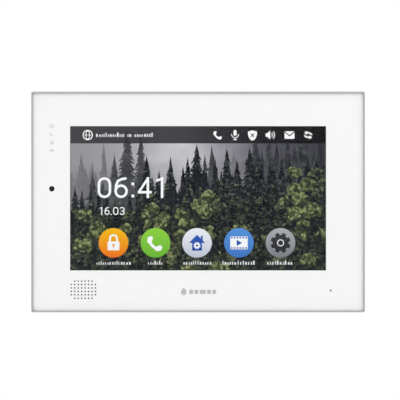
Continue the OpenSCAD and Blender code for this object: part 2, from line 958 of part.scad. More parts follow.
module wall_bracket() color("#8f9499") {
    difference() {
        union() {
            slab(-sheet_t, 0)
                rounded(bracket_w, bracket_h, 4);
            for (x = [-1, 1]) {
                block(x * (bracket_w - sheet_t) / 2, 0, sheet_t, bracket_h - 12,
                      -bracket_rim, -eps);
                for (z = hook_z)
                    along_x(x * (bracket_w - sheet_t) / 2, sheet_t)
                        hook_shape(z);
            }
            for (z = [-1, 1])
                block(0, z * (bracket_h - sheet_t) / 2, bracket_w - 16, sheet_t,
                      -bracket_rim, -eps);
        }
        slab(-sheet_t - 1, 1) {
            rounded(cable_opening, cable_opening, 4);
            for (a = [0 : 90 : 270])
                rotate(a)
                    translate([box_circle_d / 2, 0])
                        circle(d = screw_hole_d);
            for (x = [-1, 1], z = [-1, 1])
                translate([x * wall_screw_w / 2, z * wall_screw_h / 2])
                    circle(d = screw_hole_d);
        }
    }
}

// ---------------------------------------------------------------- nodes

wall_bracket();
bezel_frame();
front_glass();
glass_mask();
glass_tape();
carrier_frame();
carrier_screws();
touch_sensor();
touch_flex();
lcd_bezel();
lcd_cell();
lcd_films();
light_guide();
backlight_leds();
backlight_tray();
lcd_driver_board();
lcd_ribbon();
chassis_plate();
main_board();
board_screws();
processor();
thermal_pad();
heat_sink();
memory_chips();
network_transformer();
power_magnetics();
filter_capacitors();
coin_cell_holder();
coin_cell();
board_connectors();
rj45_shield();
rj45_insert();
rj45_contacts();
pin_headers();
header_pins();
card_socket();
memory_card();
reset_switch();
reset_button();
speaker_mesh();
speaker_gasket();
speaker_basket();
speaker_surround();
speaker_cone();
speaker_magnet();
microphone();
microphone_boot();
inner_leads();
side_board();
side_flex();
indicator_leds();
indicator_shield();
light_pipes();
camera_module();
camera_lens();
camera_gasket();
rear_cover();
cover_screws();
rating_label();
wall_bumpers();
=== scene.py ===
"""Looks of a wall-hung video intercom monitor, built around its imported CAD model."""

import json
import math
import random

import bmesh
import bpy
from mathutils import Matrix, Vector
from mathutils.geometry import convex_hull_2d, delaunay_2d_cdt


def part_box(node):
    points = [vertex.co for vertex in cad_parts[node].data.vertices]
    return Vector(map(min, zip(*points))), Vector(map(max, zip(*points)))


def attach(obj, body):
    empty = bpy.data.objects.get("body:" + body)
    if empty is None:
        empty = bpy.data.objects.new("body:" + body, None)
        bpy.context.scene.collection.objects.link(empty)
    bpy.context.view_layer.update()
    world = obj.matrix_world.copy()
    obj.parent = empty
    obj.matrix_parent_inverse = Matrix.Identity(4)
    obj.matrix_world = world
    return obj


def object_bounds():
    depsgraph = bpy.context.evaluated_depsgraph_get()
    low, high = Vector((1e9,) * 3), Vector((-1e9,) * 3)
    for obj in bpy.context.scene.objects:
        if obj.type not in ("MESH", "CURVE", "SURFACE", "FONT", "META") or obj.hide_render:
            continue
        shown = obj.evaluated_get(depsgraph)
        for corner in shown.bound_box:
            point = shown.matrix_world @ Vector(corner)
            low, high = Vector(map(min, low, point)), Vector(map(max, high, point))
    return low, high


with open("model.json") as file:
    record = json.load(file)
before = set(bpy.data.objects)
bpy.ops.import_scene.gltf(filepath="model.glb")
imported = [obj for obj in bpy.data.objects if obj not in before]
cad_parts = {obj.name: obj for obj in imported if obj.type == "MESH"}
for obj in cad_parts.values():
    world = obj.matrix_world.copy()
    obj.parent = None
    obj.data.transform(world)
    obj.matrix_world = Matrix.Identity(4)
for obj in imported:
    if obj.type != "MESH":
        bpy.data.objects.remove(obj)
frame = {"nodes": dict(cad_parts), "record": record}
cad_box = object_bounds()

# Sizes are in millimetres where they are multiplied by MM, and in metres elsewhere.
MM = 0.001
SCREEN_W, SCREEN_H = 222.7, 125.3
TONE_REACH = 0.112      # half the width over which the picture's tone changes, in metres
SHEET = 0.03            # thickness of one sheet of the picture
LAYER_STEP = 0.05       # distance between two sheets
INK = 0.015             # thickness of print
INK_GAP = 0.02          # print floats this far off its face, so the two don't flicker


# ---------------- colours


def rgb(red, green, blue):
    """Linear colour of a display colour given as 0 to 255."""
    steps = [value / 255 for value in (red, green, blue)]
    line = [s / 12.92 if s <= 0.04045 else ((s + 0.055) / 1.055) ** 2.4 for s in steps]
    return (*line, 1.0)


def scaled(color, factor):
    return (*[min(1.0, part * factor) for part in color[:3]], 1.0)


# ---------------- node materials


def blank_material(name):
    mat = bpy.data.materials.new(name)
    mat.use_nodes = True
    mat.node_tree.nodes.clear()
    return mat


def add(owner, kind, inputs=None, **settings):
    """Adds one node to a material or world. An input is a value or another node's output."""
    tree = owner.node_tree
    node = tree.nodes.new("ShaderNode" + kind)
    for key, value in settings.items():
        setattr(node, key, value)
    for key, value in (inputs or {}).items():
        if isinstance(value, bpy.types.NodeSocket):
            tree.links.new(value, node.inputs[key])
        else:
            node.inputs[key].default_value = value
    return node


def output(mat, shader):
    add(mat, "OutputMaterial", {"Surface": shader.outputs[0]})
    return mat


def ramp(mat, factor, stops):
    """Colour ramp through (position, colour) stops."""
    node = add(mat, "ValToRGB", {"Fac": factor})
    band = node.color_ramp
    while len(band.elements) < len(stops):
        band.elements.new(0.5)
    for element, (place, color) in zip(band.elements, stops):
        element.position = place
        element.color = color
    return node.outputs["Color"]


def place(mat, stretch=(1, 1, 1)):
    """Position on the object in metres, stretched along each axis."""
    coords = add(mat, "TexCoord")
    mapped = add(mat, "Mapping", {"Vector": coords.outputs["Object"], "Scale": stretch})
    return mapped.outputs["Vector"]


def noise(mat, where, scale, detail=3.0, roughness=0.55):
    inputs = {"Vector": where, "Scale": scale, "Detail": detail, "Roughness": roughness}
    return add(mat, "TexNoise", inputs).outputs["Fac"]


def between(mat, value, low, high, from_low=0.0, from_high=1.0):
    inputs = {"Value": value, "From Min": from_low, "From Max": from_high,
              "To Min": low, "To Max": high}
    return add(mat, "MapRange", inputs).outputs["Result"]


def math_node(mat, operation, first, second):
    return add(mat, "Math", {0: first, 1: second}, operation=operation).outputs[0]


def vector_node(mat, operation, inputs):
    return add(mat, "VectorMath", inputs, operation=operation)


def mixed(mat, factor, first, second):
    """Mix of two colours. The Mix node's colours are its inputs 6 and 7."""
    return add(mat, "Mix", {0: factor, 6: first, 7: second}, data_type="RGBA").outputs[2]


def edge_mask(mat, radius):
    """1 on sharp edges, 0 on flat faces."""
    soft = add(mat, "Bevel", {"Radius": radius}, samples=4).outputs["Normal"]
    hard = add(mat, "NewGeometry").outputs["Normal"]
    along = vector_node(mat, "DOT_PRODUCT", {0: soft, 1: hard})
    return between(mat, along.outputs["Value"], 1.0, 0.0, 0.82, 0.995)


BROAD_SHARE = 0.06      # how coarse the uneven tone is, beside the grain
WORN_AND_SHINE_EDGE = 0.0004      # width of a lighter edge, part wear and part painted highlight, in metres


def surface(name, color, rough, metallic=0.0, grain=900.0, tone=0.06, bump=0.25,
            depth=0.00002, stretch=(1, 1, 1), wear_and_shine=0.0, wear_and_shine_color=None, coat=0.0, specular=0.5):
    """Shaded material with an uneven tone, a fine grain and, if asked, lighter edges that stand for
    wear and are also a painted edge highlight.
    """
    mat = blank_material(name)
    where = place(mat, stretch)
    broad = noise(mat, where, grain * BROAD_SHARE, 4.0)
    fine = noise(mat, where, grain, 5.0, 0.6)
    base = ramp(mat, broad, [(0.25, scaled(color, 1 - tone)), (0.75, scaled(color, 1 + tone))])
    speck = between(mat, fine, 0.0, tone * 1.5, 0.45, 0.75)
    base = mixed(mat, speck, base, scaled(color, 0.55))
    # Sharp edges are lightened towards a brighter colour: wear, and also a painted highlight on the
    # edge.
    if wear_and_shine:
        worn_and_shine = math_node(mat, "MULTIPLY", edge_mask(mat, WORN_AND_SHINE_EDGE), between(mat, broad, 0, wear_and_shine))
        base = mixed(mat, worn_and_shine, base, wear_and_shine_color or scaled(color, 1.6))
    height = add(mat, "Bump", {"Height": fine, "Strength": bump, "Distance": depth})
    inputs = {
        "Base Color": base,
        "Roughness": between(mat, broad, rough * 0.85, min(1.0, rough * 1.15), 0.3, 0.7),
        "Metallic": metallic,
        "Normal": height.outputs["Normal"],
        "Coat Weight": coat,
        "Specular IOR Level": specular,
    }
    return output(mat, add(mat, "BsdfPrincipled", inputs))


# ---------------- flat shapes, in millimetres


def arc(cx, cz, r, start, end, steps=0):
    steps = steps or max(4, int(abs(end - start) / 12))
    turns = [math.radians(start + (end - start) * i / steps) for i in range(steps + 1)]
    return [(cx + r * math.cos(a), cz + r * math.sin(a)) for a in turns]


def circle(cx, cz, r, steps=48):
    return arc(cx, cz, r, 0, 360, steps)[:-1]


def rounded(cx, cz, w, h, r):
    x, z = w / 2 - r, h / 2 - r
    corners = [(x, z, 0), (-x, z, 90), (-x, -z, 180), (x, -z, 270)]
    return [p for dx, dz, a in corners for p in arc(cx + dx, cz + dz, r, a, a + 90, 5)]


def block(cx, cz, w, h):
    return [(cx - w / 2, cz - h / 2), (cx + w / 2, cz - h / 2),
            (cx + w / 2, cz + h / 2), (cx - w / 2, cz + h / 2)]


def line(points, width):
    """Outline of a bent line with round ends."""
    r = width / 2
    ways = []
    for (ax, az), (bx, bz) in zip(points, points[1:]):
        ways.append(math.atan2(bz - az, bx - ax))
    left, right = [], []
    for (x, z), before, after in zip(points[1:-1], ways, ways[1:]):
        turn = math.remainder(after - before, math.tau) / 2
        side = before + turn + math.pi / 2
        reach = r / max(0.4, math.cos(turn))
        left.append((x + reach * math.cos(side), z + reach * math.sin(side)))
        right.append((x - reach * math.cos(side), z - reach * math.sin(side)))
    first, last = math.degrees(ways[0]), math.degrees(ways[-1])
    head = arc(*points[-1], r, last - 90, last + 90, 8)
    tail = arc(*points[0], r, first + 90, first + 270, 8)
    return right + head + left[::-1] + tail


def turned(outline, cx, cz, degrees):
    """The outline turned about a point."""
    c, s = math.cos(math.radians(degrees)), math.sin(math.radians(degrees))
    return [(cx + (x - cx) * c - (z - cz) * s, cz + (x - cx) * s + (z - cz) * c)
            for x, z in outline]


def counterclockwise(outline):
    pairs = zip(outline, outline[1:] + outline[:1])
    area = sum(ax * bz - bx * az for (ax, az), (bx, bz) in pairs)
    return outline if area > 0 else outline[::-1]


def linked(name, data):
    made = bpy.data.objects.new(name, data)
    bpy.context.scene.collection.objects.link(made)
    return made


def built(name, build, looks):
    """Object made of a finished bmesh, with its looks."""
    mesh = bpy.data.meshes.new(name)
    build.to_mesh(mesh)
    build.free()
    for look in looks:
        mesh.materials.append(look)
    return linked(name, mesh)


def sheet(name, shapes, looks, front, middle=(0.0, 0.0), clip=None, thickness=SHEET,
          to_back=False):
    """Thin sheet of flat shapes whose seen face is at y = front, in metres.

    A shape is (outline, index of its look, tone), and a tone is a number or a function of the
    place. A later shape covers an earlier one, a shape whose index is None is a hole, and
    nothing is kept outside the clip outline.
    """
    outlines = [counterclockwise(shape[0]) for shape in shapes]
    if clip:
        outlines.append(counterclockwise(clip))
    points, faces = [], []
    for outline in outlines:
        faces.append(list(range(len(points), len(points) + len(outline))))
        points += [Vector(point) for point in outline]
    found = delaunay_2d_cdt(points, [], faces, 1, 1e-4)
    corners, cells, owners = found[0], found[2], found[5]
    build = bmesh.new()
    tones = build.loops.layers.float.new("tone")
    placed = [build.verts.new((middle[0] + x * MM, front, middle[1] + z * MM))
              for x, z in corners]
    for cell, inside in zip(cells, owners):
        drawn = [i for i in inside if i < len(shapes)]
        if not drawn or (clip and len(shapes) not in inside):
            continue
        _, look, tone = shapes[max(drawn)]
        if look is None:
            continue
        face = build.faces.new([placed[i] for i in cell])
        face.material_index = look
        for corner, i in zip(face.loops, cell):
            corner[tones] = tone(*corners[i]) if callable(tone) else tone
    loose = [v for v in build.verts if not v.link_faces]
    bmesh.ops.delete(build, geom=loose, context="VERTS")
    bmesh.ops.recalc_face_normals(build, faces=build.faces)
    if build.faces and (sum(face.normal.y for face in build.faces) > 0) != to_back:
        bmesh.ops.reverse_faces(build, faces=build.faces)
    piece = built(name, build, looks)
    thick = piece.modifiers.new("thickness", "SOLIDIFY")
    thick.thickness = thickness * MM
    thick.offset = -1
    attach(piece, "monitor")


# ---------------- lit picture: looks


def screen_middle():
    low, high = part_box("lcd_cell")
    return (low.x + high.x) / 2, (low.z + high.z) / 2


def screen_place(mat, stretch=(1, 1, 1)):
    """Position from the middle of the picture, in metres."""
    x, z = screen_middle()
    shifted = vector_node(mat, "ADD", {0: place(mat), 1: (-x, 0, -z)})
    return vector_node(mat, "MULTIPLY", {0: shifted.outputs[0], 1: stretch}).outputs[0]


def lit(mat, color):
    return output(mat, add(mat, "Emission", {"Color": color, "Strength": 1.0}))


def axis_part(mat, where, axis):
    return add(mat, "SeparateXYZ", {0: where}).outputs[axis]


def sky_look():
    """Pale mist, brightest left of the middle and darker at both sides and lower down."""
    mat = blank_material("picture_mist")
    where = screen_place(mat)
    drift = noise(mat, screen_place(mat, (1, 1, 1.4)), 26, 5, 0.62)
    across = between(mat, axis_part(mat, where, "X"), 0, 1, -TONE_REACH, TONE_REACH)
    across = math_node(mat, "ADD", across, between(mat, drift, -0.12, 0.12))
    tone = ramp(mat, across, [
        (0.0, rgb(150, 148, 150)), (0.16, rgb(158, 156, 159)), (0.3, rgb(182, 179, 183)),
        (0.44, rgb(206, 203, 208)), (0.56, rgb(160, 157, 164)), (0.72, rgb(92, 91, 100)),
        (1.0, rgb(52, 52, 60))])
    low = between(mat, axis_part(mat, where, "Z"), 0.0, 1.0, -0.03, 0.035)
    low = math_node(mat, "ADD", low, between(mat, drift, -0.35, 0.35))
    return lit(mat, mixed(mat, low, rgb(84, 84, 90), tone))


def tree_look(name, stops, mist, haze, leaf, reach):
    """Leaves or needles between shade and sunlight, behind a drifting veil of mist.

    The tone of the drawn shape says how light a place is, and small uneven cells with dark
    gaps between them break it up into leaves.
    """
    mat = blank_material(name)
    where = screen_place(mat)
    wander = add(mat, "TexNoise", {"Vector": where, "Scale": 420.0, "Detail": 3.0})
    wander = vector_node(mat, "SUBTRACT", {0: wander.outputs["Color"], 1: (0.5, 0.5, 0.5)})
    wander = vector_node(mat, "SCALE", {0: wander.outputs[0], 3: 0.0022})
    bent = vector_node(mat, "ADD", {0: where, 1: wander.outputs[0]}).outputs[0]
    cells = add(mat, "TexVoronoi", {"Vector": bent, "Scale": float(leaf), "Randomness": 1.0})
    chance = add(mat, "SeparateColor", {0: cells.outputs["Color"]}).outputs[0]
    gaps = between(mat, cells.outputs["Distance"], 0.1, -0.25, 0.2, 0.8)
    specks = noise(mat, where, 1300, 3, 0.7)
    light = add(mat, "Attribute", attribute_name="tone").outputs["Fac"]
    light = math_node(mat, "ADD", light, between(mat, chance, -reach, reach))
    light = math_node(mat, "ADD", light, gaps)
    light = math_node(mat, "ADD", light, between(mat, specks, -0.2, 0.2, 0.3, 0.7))
    color = ramp(mat, light, [(step, rgb(*display)) for step, *display in stops])
    drift = noise(mat, where, 32, 4, 0.55)
    veil = between(mat, drift, haze[0], haze[1], 0.3, 0.7)
    return lit(mat, mixed(mat, veil, color, rgb(*mist)))


def gradient_look(name, bottom, top, low, high):
    """Even change from one display colour at height low to another at high."""
    mat = blank_material(name)
    along = axis_part(mat, screen_place(mat), "Z")
    factor = between(mat, along, 0, 1, low * MM, high * MM)
    return lit(mat, ramp(mat, factor, [(0.0, rgb(*bottom)), (1.0, rgb(*top))]))


def veil_look(name, left, right, left_cover, right_cover):
    """See-through dark tint that gets denser towards the right."""
    mat = blank_material(name)
    along = axis_part(mat, screen_place(mat), "X")
    across = between(mat, along, 0, 1, -TONE_REACH, TONE_REACH)
    tint = add(mat, "Emission", {"Color": mixed(mat, across, left, right)})
    cover = between(mat, across, left_cover, right_cover)
    clear = add(mat, "BsdfTransparent")
    both = add(mat, "MixShader", {0: cover, 1: clear.outputs[0], 2: tint.outputs[0]})
    return output(mat, both)


# ---------------- lit picture: forest


def fir(draw, x, top, base, spread, light):
    """One fir: ragged tiers of branches from the foot up, each light above and dark below."""
    tiers = max(5, int((top - base) / 2.7))
    step = (top - base) / tiers
    shapes = []
    for i in range(tiers, 0, -1):
        z = top - step * i
        reach = spread * (i / tiers) ** 0.85
        left, right = (max(0.7, reach * draw.uniform(0.6, 1.15)) for _ in range(2))
        drop_left, drop_right = (draw.uniform(0.1, 0.6) * step for _ in range(2))
        outline = [(x, z + step * 1.9), (x - left * 0.25, z + step * 0.95),
                   (x - left * 0.62, z + step * 0.45), (x - left, z - drop_left),
                   (x - left * 0.84, z - drop_left - 0.25 * step)]
        teeth = max(2, int((left + right) / 1.6))
        for k in range(1, teeth):
            across = (left + right) * 0.8 * k / teeth - left * 0.8
            lift = draw.uniform(0.1, 0.35) if k % 2 else draw.uniform(-0.3, -0.1)
            outline.append((x + across, z - 0.45 * step + lift * step))
        outline += [(x + right * 0.84, z - drop_right - 0.25 * step), (x + right, z - drop_right),
                    (x + right * 0.62, z + step * 0.45), (x + right * 0.25, z + step * 0.95)]
        lit_here = light + draw.uniform(-0.12, 0.12)

        def tone(px, pz, z=z, bright=lit_here):
            return bright + 0.3 * (pz - z - 0.3 * step) / step - 0.02 * (px - x)

        shapes.append((outline, tone))
    return shapes


def firs(draw, places, base, look, light=0.3):
    shapes = []
    for x, top, spread in places:
        here = light + draw.uniform(-0.1, 0.1)
        for outline, tone in fir(draw, x, top, base + draw.uniform(-3, 3), spread, here):
            shapes.append((outline, look, tone))
    return shapes


def row(draw, start, end, step, tops, spreads):
    """Places of a row of firs at uneven distances."""
    places = []
    x = start
    while x < end:
        places.append((x, draw.uniform(*tops), draw.uniform(*spreads)))
        x += step * draw.uniform(0.6, 1.4)
    return places


def crown(draw, cx, cz, r, light, look):
    """Leafy crown: ragged clumps around its middle, light above left and dark below right."""
    shapes = []
    clumps = [(0.0, 0.0, 1.0)]
    for i in range(9):
        turn = math.tau * (i + draw.uniform(-0.3, 0.3)) / 9
        out = draw.uniform(0.45, 0.75)
        clumps.append((out * math.cos(turn), 0.8 * out * math.sin(turn), draw.uniform(0.3, 0.46)))
    for dx, dz, size in sorted(clumps[1:], key=lambda c: -c[1]) + clumps[:1]:
        bx, bz, br = cx + dx * r, cz + dz * r, size * r * (0.72 if size == 1.0 else 1.0)
        outline = []
        points = max(12, int(br * 4))
        for k in range(points):
            a = math.tau * (k + draw.uniform(-0.3, 0.3)) / points
            reach = br * draw.uniform(0.78, 1.16)
            outline.append((bx + reach * math.cos(a), bz + reach * 0.85 * math.sin(a)))

        def tone(px, pz, bx=bx, bz=bz, br=br, shade=light + 0.12 * dz):
            return shade + 0.2 * (pz - bz) / br - 0.08 * (px - bx) / br

        shapes.append((outline, look, tone))
    return shapes


def ground(draw, height, look, tone):
    """Everything below an uneven line."""
    edge = [(x, height(x) + draw.uniform(-1.5, 1.5)) for x in range(-116, 117, 3)]
    return [(edge + [(116, -70), (-116, -70)], look, tone)]


SUNLIT = 0.48           # crowns that get more light than this are olive, the others dark


def sunlight(x, z):
    """How much sun a crown gets: bright clearings in a dark wood, and a few darker places."""
    light = 0.4
    for sx, sz, size, amount in (
            (9, -6, 17, 0.2), (86, 14, 22, 0.24), (80, -8, 14, 0.2), (104, -24, 20, 0.2),
            (-98, -28, 24, 0.12), (-40, -14, 20, 0.12), (-20, -38, 18, 0.14), (22, -44, 20, 0.18),
            (48, -30, 12, 0.12), (-62, -40, 16, 0.06), (54, -14, 18, -0.26), (-86, 4, 18, -0.1),
            (34, 6, 14, -0.12)):
        light += amount * math.exp(-((x - sx) ** 2 + (z - sz) ** 2) / size ** 2)
    return light


# Stops of (tone, red, green, blue), the mist's colour, how much of it there is at least and at
# most, the fineness of the leaves and how uneven they are.
TREES = {
    "firs_far": ([(0.1, 92, 92, 96), (0.7, 122, 121, 124)], (132, 130, 135), (0.2, 0.8), 420, 0.2),
    "firs_hazy": ([(0.05, 32, 33, 38), (0.4, 54, 56, 58), (0.9, 88, 92, 82)],
                  (70, 70, 80), (0.05, 0.6), 380, 0.42),
    "firs_left": ([(0.05, 36, 38, 42), (0.45, 62, 66, 66), (0.9, 98, 104, 96)],
                  (96, 95, 100), (0.05, 0.6), 430, 0.4),
    "firs_dark": ([(0.05, 16, 18, 25), (0.35, 34, 38, 43), (0.65, 70, 79, 68), (1.0, 116, 125, 98)],
                  (50, 51, 62), (0.0, 0.22), 430, 0.5),
    "firs_green": ([(0.05, 20, 23, 27), (0.35, 42, 49, 44), (0.7, 84, 94, 68), (1.0, 120, 130, 92)],
                   (54, 55, 64), (0.0, 0.22), 430, 0.48),
    "leaves_dark": ([(0.0, 20, 22, 28), (0.3, 38, 43, 40), (0.55, 66, 74, 56),
                     (0.9, 112, 120, 84)], (46, 47, 57), (0.0, 0.15), 470, 0.34),
    "leaves_olive": ([(0.0, 26, 30, 28), (0.3, 50, 57, 41), (0.58, 84, 93, 60),
                      (0.95, 148, 156, 104)], (66, 70, 64), (0.0, 0.15), 430, 0.4),
}


def forest(depth):
    """Layers of the wallpaper from back to front. Returns the depth in front of them."""
    draw = random.Random(11)
    middle = screen_middle()
    frame_edge = block(0, 0, SCREEN_W, SCREEN_H)

    def layer(name, shapes, looks):
        nonlocal depth
        sheet(name, shapes, looks, depth, middle, frame_edge)
        depth -= LAYER_STEP * MM

    layer("picture_sky", [(frame_edge, 0, 0.0)], [sky_look()])

    looks = {name: tree_look(name, *values) for name, values in TREES.items()}
    trees = firs(draw, row(draw, -114, -56, 9, (26, 52), (8, 12)), -12, 0)
    trees += firs(draw, row(draw, -2, 64, 10, (24, 44), (7, 10)), -10, 0)
    trees += firs(draw, row(draw, 50, 114, 7, (40, 62), (8, 12)), -8, 1)
    trees += firs(draw, row(draw, -110, -70, 12, (10, 28), (8, 11)), -14, 0, -0.1)
    layer("picture_far_firs", trees, [looks["firs_far"], looks["firs_hazy"]])

    trees = firs(draw, [(-92, 22, 9), (-73, 37, 10), (-62, 62, 15), (-50, 58, 12), (-83, 14, 9)],
                 -12, 0)
    trees += firs(draw, [(12, 45, 11), (60, 38, 11), (73, 44, 12), (88, 40, 12), (102, 36, 12)],
                  -12, 0)
    trees += firs(draw, row(draw, 48, 114, 9, (22, 36), (7, 10)), -14, 1, 0.25)
    trees += firs(draw, [(-45, 36, 13), (-24, 35, 12), (-1, 46, 17), (25, 43, 14), (45, 44, 16),
                         (-13, 27, 10), (-34, 24, 10), (34, 33, 11), (15, 34, 10), (-9, 35, 10),
                         (53, 39, 13), (6, 37, 9), (64, 34, 12)], -16, 1, 0.3)
    layer("picture_near_firs", trees, [looks["firs_left"], looks["firs_dark"]])

    trees = []
    for i, tree in enumerate(row(draw, -40, 114, 5, (6, 26), (6, 9))):
        trees += firs(draw, [tree], -22, i % 3 != 0, 0.34)
    trees += firs(draw, row(draw, -114, -30, 8, (-4, 10), (6, 9)), -26, 1, 0.3)
    layer("picture_middle_firs", trees, [looks["firs_green"], looks["firs_dark"]])

    leaves = [looks["leaves_dark"], looks["leaves_olive"]]
    back = ground(draw, lambda x: -6 + 5 * math.sin(x / 26 + 0.6) + x * 0.05, 0, 0.28)
    for x, z, r in [(84, 22, 7), (104, 20, 8), (112, 14, 7), (96, 12, 8), (84, 8, 7), (106, 4, 8),
                    (90, -1, 8), (76, -3, 6), (70, -12, 8), (84, -13, 8), (100, -10, 9), (9, 0, 9),
                    (0, -6, 7), (18, -8, 8), (6, -12, 8), (-14, -14, 7), (-40, -9, 7), (-30, -18, 8),
                    (-46, -18, 7), (-100, -16, 8), (-86, -20, 8), (-112, -12, 8), (-60, -16, 7),
                    (38, -10, 6), (56, -4, 6)]:
        light = sunlight(x, z) + draw.uniform(-0.08, 0.04)
        back += crown(draw, x, z, r, light, int(light > SUNLIT))
    back += firs(draw, [(-72, -2, 8), (-52, -4, 8), (30, -1, 8), (64, 8, 9), (48, 2, 9),
                        (76, 4, 7)], -40, 0, 0.26)
    layer("picture_back_leaves", back, leaves)

    front = ground(draw, lambda x: -34 + 4 * math.sin(x / 19), 0, 0.3)
    crowns = []
    for i in range(60):
        x = -114 + (i * 61) % 230
        z = -22 - 42 * ((i * 37) % 60) / 60
        crowns.append((z, x, draw.uniform(6, 9.5), draw.uniform(-0.1, 0.12), i % 6 == 0))
    for z, x, r, change, pointed in sorted(crowns, reverse=True):
        light = sunlight(x, z) + change
        if pointed:
            front += firs(draw, [(x, z + 16, 7)], z - 8, 0, 0.24)
        else:
            front += crown(draw, x, z, r, light, int(light > SUNLIT))
    layer("picture_front_leaves", front, leaves)
    return depth


# ---------------- lit picture: signs


def painted(outlines, look, tone=0.5):
    return [(outline, look, tone) for outline in outlines]


def cut(outlines):
    return [(outline, None, 0.0) for outline in outlines]


def at(cx, cz, s, shapes):
    """A sign that is drawn about 0, 0, at s times its size and moved to its place."""
    return [([(cx + x * s, cz + z * s) for x, z in outline], look, tone)
            for outline, look, tone in shapes]


def oval(cx, cz, rx, rz, start=0, end=360, steps=32):
    return [(cx + rx * math.cos(math.radians(a)), cz + rz * math.sin(math.radians(a)))
            for a in [start + (end - start) * i / steps for i in range(steps + 1)]]


def handset(look):
    """Telephone handset leaning to the left, about 2 across."""
    body = arc(1.15, 1.15, 1.75, 188, 262, 10)
    ear = turned(line([(-0.42, 0.95), (-0.42, 0.52)], 0.62), -0.42, 0.73, -24)
    mouth = turned(line([(0.95, -0.42), (0.52, -0.42)], 0.62), 0.73, -0.42, 24)
    return painted([line(body, 0.4), ear, mouth], look)


def microphone(look):
    cup = line(arc(0, 0.2, 0.95, 180, 360, 14), 0.2)
    head = rounded(0, 0.6, 0.84, 1.6, 0.41)
    foot = [block(0, -0.95, 0.24, 0.6), block(0, -1.26, 1, 0.22)]
    return painted([head, cup] + foot, look)


def shield(look):
    side = [(0.98 * math.cos(a) ** 1.15, 0.35 - 1.5 * math.sin(a) ** 1.1)
            for a in [math.pi / 2 * i / 8 for i in range(8)]] + [(0, -1.2)]
    left = [(-x, z) for x, z in side[::-1]]
    top = [(-0.98, 0.8), (-0.5, 0.92), (0, 1.1), (0.5, 0.92), (0.98, 0.8)]
    cross = [line([(-0.34, d * 0.34), (0.34, -d * 0.34)], 0.2) for d in (-1, 1)]
    return painted([side + left[1:] + top], look) + cut(cross)


def loudspeaker(look):
    horn = [(-1, -0.36), (-0.62, -0.36), (0, -0.98), (0, 0.98), (-0.62, 0.36), (-1, 0.36)]
    waves = [line(arc(-0.05, 0, r, -46, 46, 8), 0.17) for r in (0.5, 0.98)]
    return painted([horn] + waves, look)


def envelope(look):
    fold = line([(-0.95, 0.62), (0, -0.16), (0.95, 0.62)], 0.2)
    return painted([rounded(0, 0, 2, 1.5, 0.14)], look) + cut([fold])


def swap_arrows(look):
    """Two bent arrows that chase each other."""
    bend = line([(-0.4, 0.55), (0.4, 0.5), (0.85, 0.12)], 0.34)
    tip = [(-0.95, 0.55), (-0.25, 1.1), (-0.25, 0)]
    return painted([turned(part, 0, 0, turn) for turn in (0, 180) for part in (bend, tip)], look)


def globe(look):
    equator = line([(-0.85, 0), (0.85, 0)], 0.09)
    ring = painted([circle(0, 0, 1)], look) + cut([circle(0, 0, 0.82)])
    meridian = painted([oval(0, 0, 0.42, 0.9)[:-1]], look) + cut([oval(0, 0, 0.28, 0.74)[:-1]])
    return ring + meridian + painted([equator], look)


def gear(cx, cz, r, teeth, look, tooth, width):
    """Toothed wheel with flat-topped teeth."""
    outlines = [circle(cx, cz, r * (1 - tooth))]
    one = rounded(cx + r * (1 - tooth), cz, r * tooth * 2, r * width, r * 0.06)
    outlines += [turned(one, cx, cz, 360 * (i + 0.5) / teeth) for i in range(teeth)]
    return painted(outlines, look)


def padlock(white, color):
    bow = arc(0, 0.52, 0.52, 180, 0, 12)
    shackle = line([(-0.52, 0)] + bow + [(0.52, 0)], 0.27)
    keyhole = [circle(0, -0.42, 0.17), block(0, -0.68, 0.14, 0.42)]
    return painted([shackle, rounded(0, -0.55, 1.75, 1.3, 0.14)], white) + painted(keyhole, color)


def house(blue, white):
    walls = block(0, -0.5, 1.36, 1.1)
    roof = [(-1.12, 0.02), (1.12, 0.02), (0, 1.16)]
    chimney = block(0.66, 0.66, 0.26, 0.7)
    cog = gear(0, -0.34, 0.5, 8, white, 0.24, 0.32)
    return painted([chimney, walls, roof], blue) + cog + painted([circle(0, -0.34, 0.16)], blue)


def film(white, blue):
    holes = [block((i - 2.5) * 0.38, d * 0.68, 0.22, 0.2) for i in range(6) for d in (-1, 1)]
    play = [(-0.3, -0.4), (0.42, 0), (-0.3, 0.4)]
    return painted([rounded(0, 0, 2.3, 1.7, 0.08)], white) + painted(holes + [play], blue)


def figure(sign, x, z, w, h, pen):
    """One figure of a clock in a box whose lower left corner is at x, z: (strokes, holes)."""
    left, right = x + pen / 2, x + w - pen / 2
    middle = x + w / 2
    if sign == "0":
        return [rounded(middle, z + h / 2, w, h, w * 0.49)], [
            rounded(middle, z + h / 2, w - 2 * pen, h - 2 * pen, w * 0.49 - pen)]
    if sign == "6":
        r = w / 2
        neck = [(left, z + r * 1.1), (left + 0.2 * pen, z + h * 0.62),
                (left + 0.9 * pen, z + h * 0.82), (middle + 0.05 * w, z + h - 0.75 * pen),
                (right - 0.45 * pen, z + h - 0.55 * pen)]
        return [oval(middle, z + r * 1.02, r, r * 1.02)[:-1], line(neck, pen)], [
            oval(middle, z + r * 1.02, r - pen, r * 1.02 - pen)[:-1]]
    if sign == "4":
        stem = x + w * 0.72
        slope = [(stem, z + h - pen * 0.5), (left, z + h * 0.3)]
        return [line(slope, pen * 0.9), block(middle, z + h * 0.28, w, pen),
                block(stem, z + h / 2, pen, h)], []
    if sign == "1":
        stem = x + w - pen / 2
        return [block(stem, z + h / 2, pen, h),
                line([(stem - pen * 0.1, z + h - pen * 0.6), (left, z + h * 0.84)], pen * 0.9)], []
    if sign == "3":
        r = h / 4 - pen / 4
        low = oval(middle - 0.1 * w, z + r + pen / 2, w / 2 - pen / 2, r, 215, 450, 16)
        high = oval(middle - 0.1 * w, z + h - r - pen / 2, w / 2 - pen / 2, r, -90, 145, 16)
        return [line(low, pen), line(high, pen)], []
    dots = [0.06] if sign == "." else [0.1, 0.68]
    return [block(middle, z + h * place_z, pen * 1.1, pen * 1.1) for place_z in dots], []


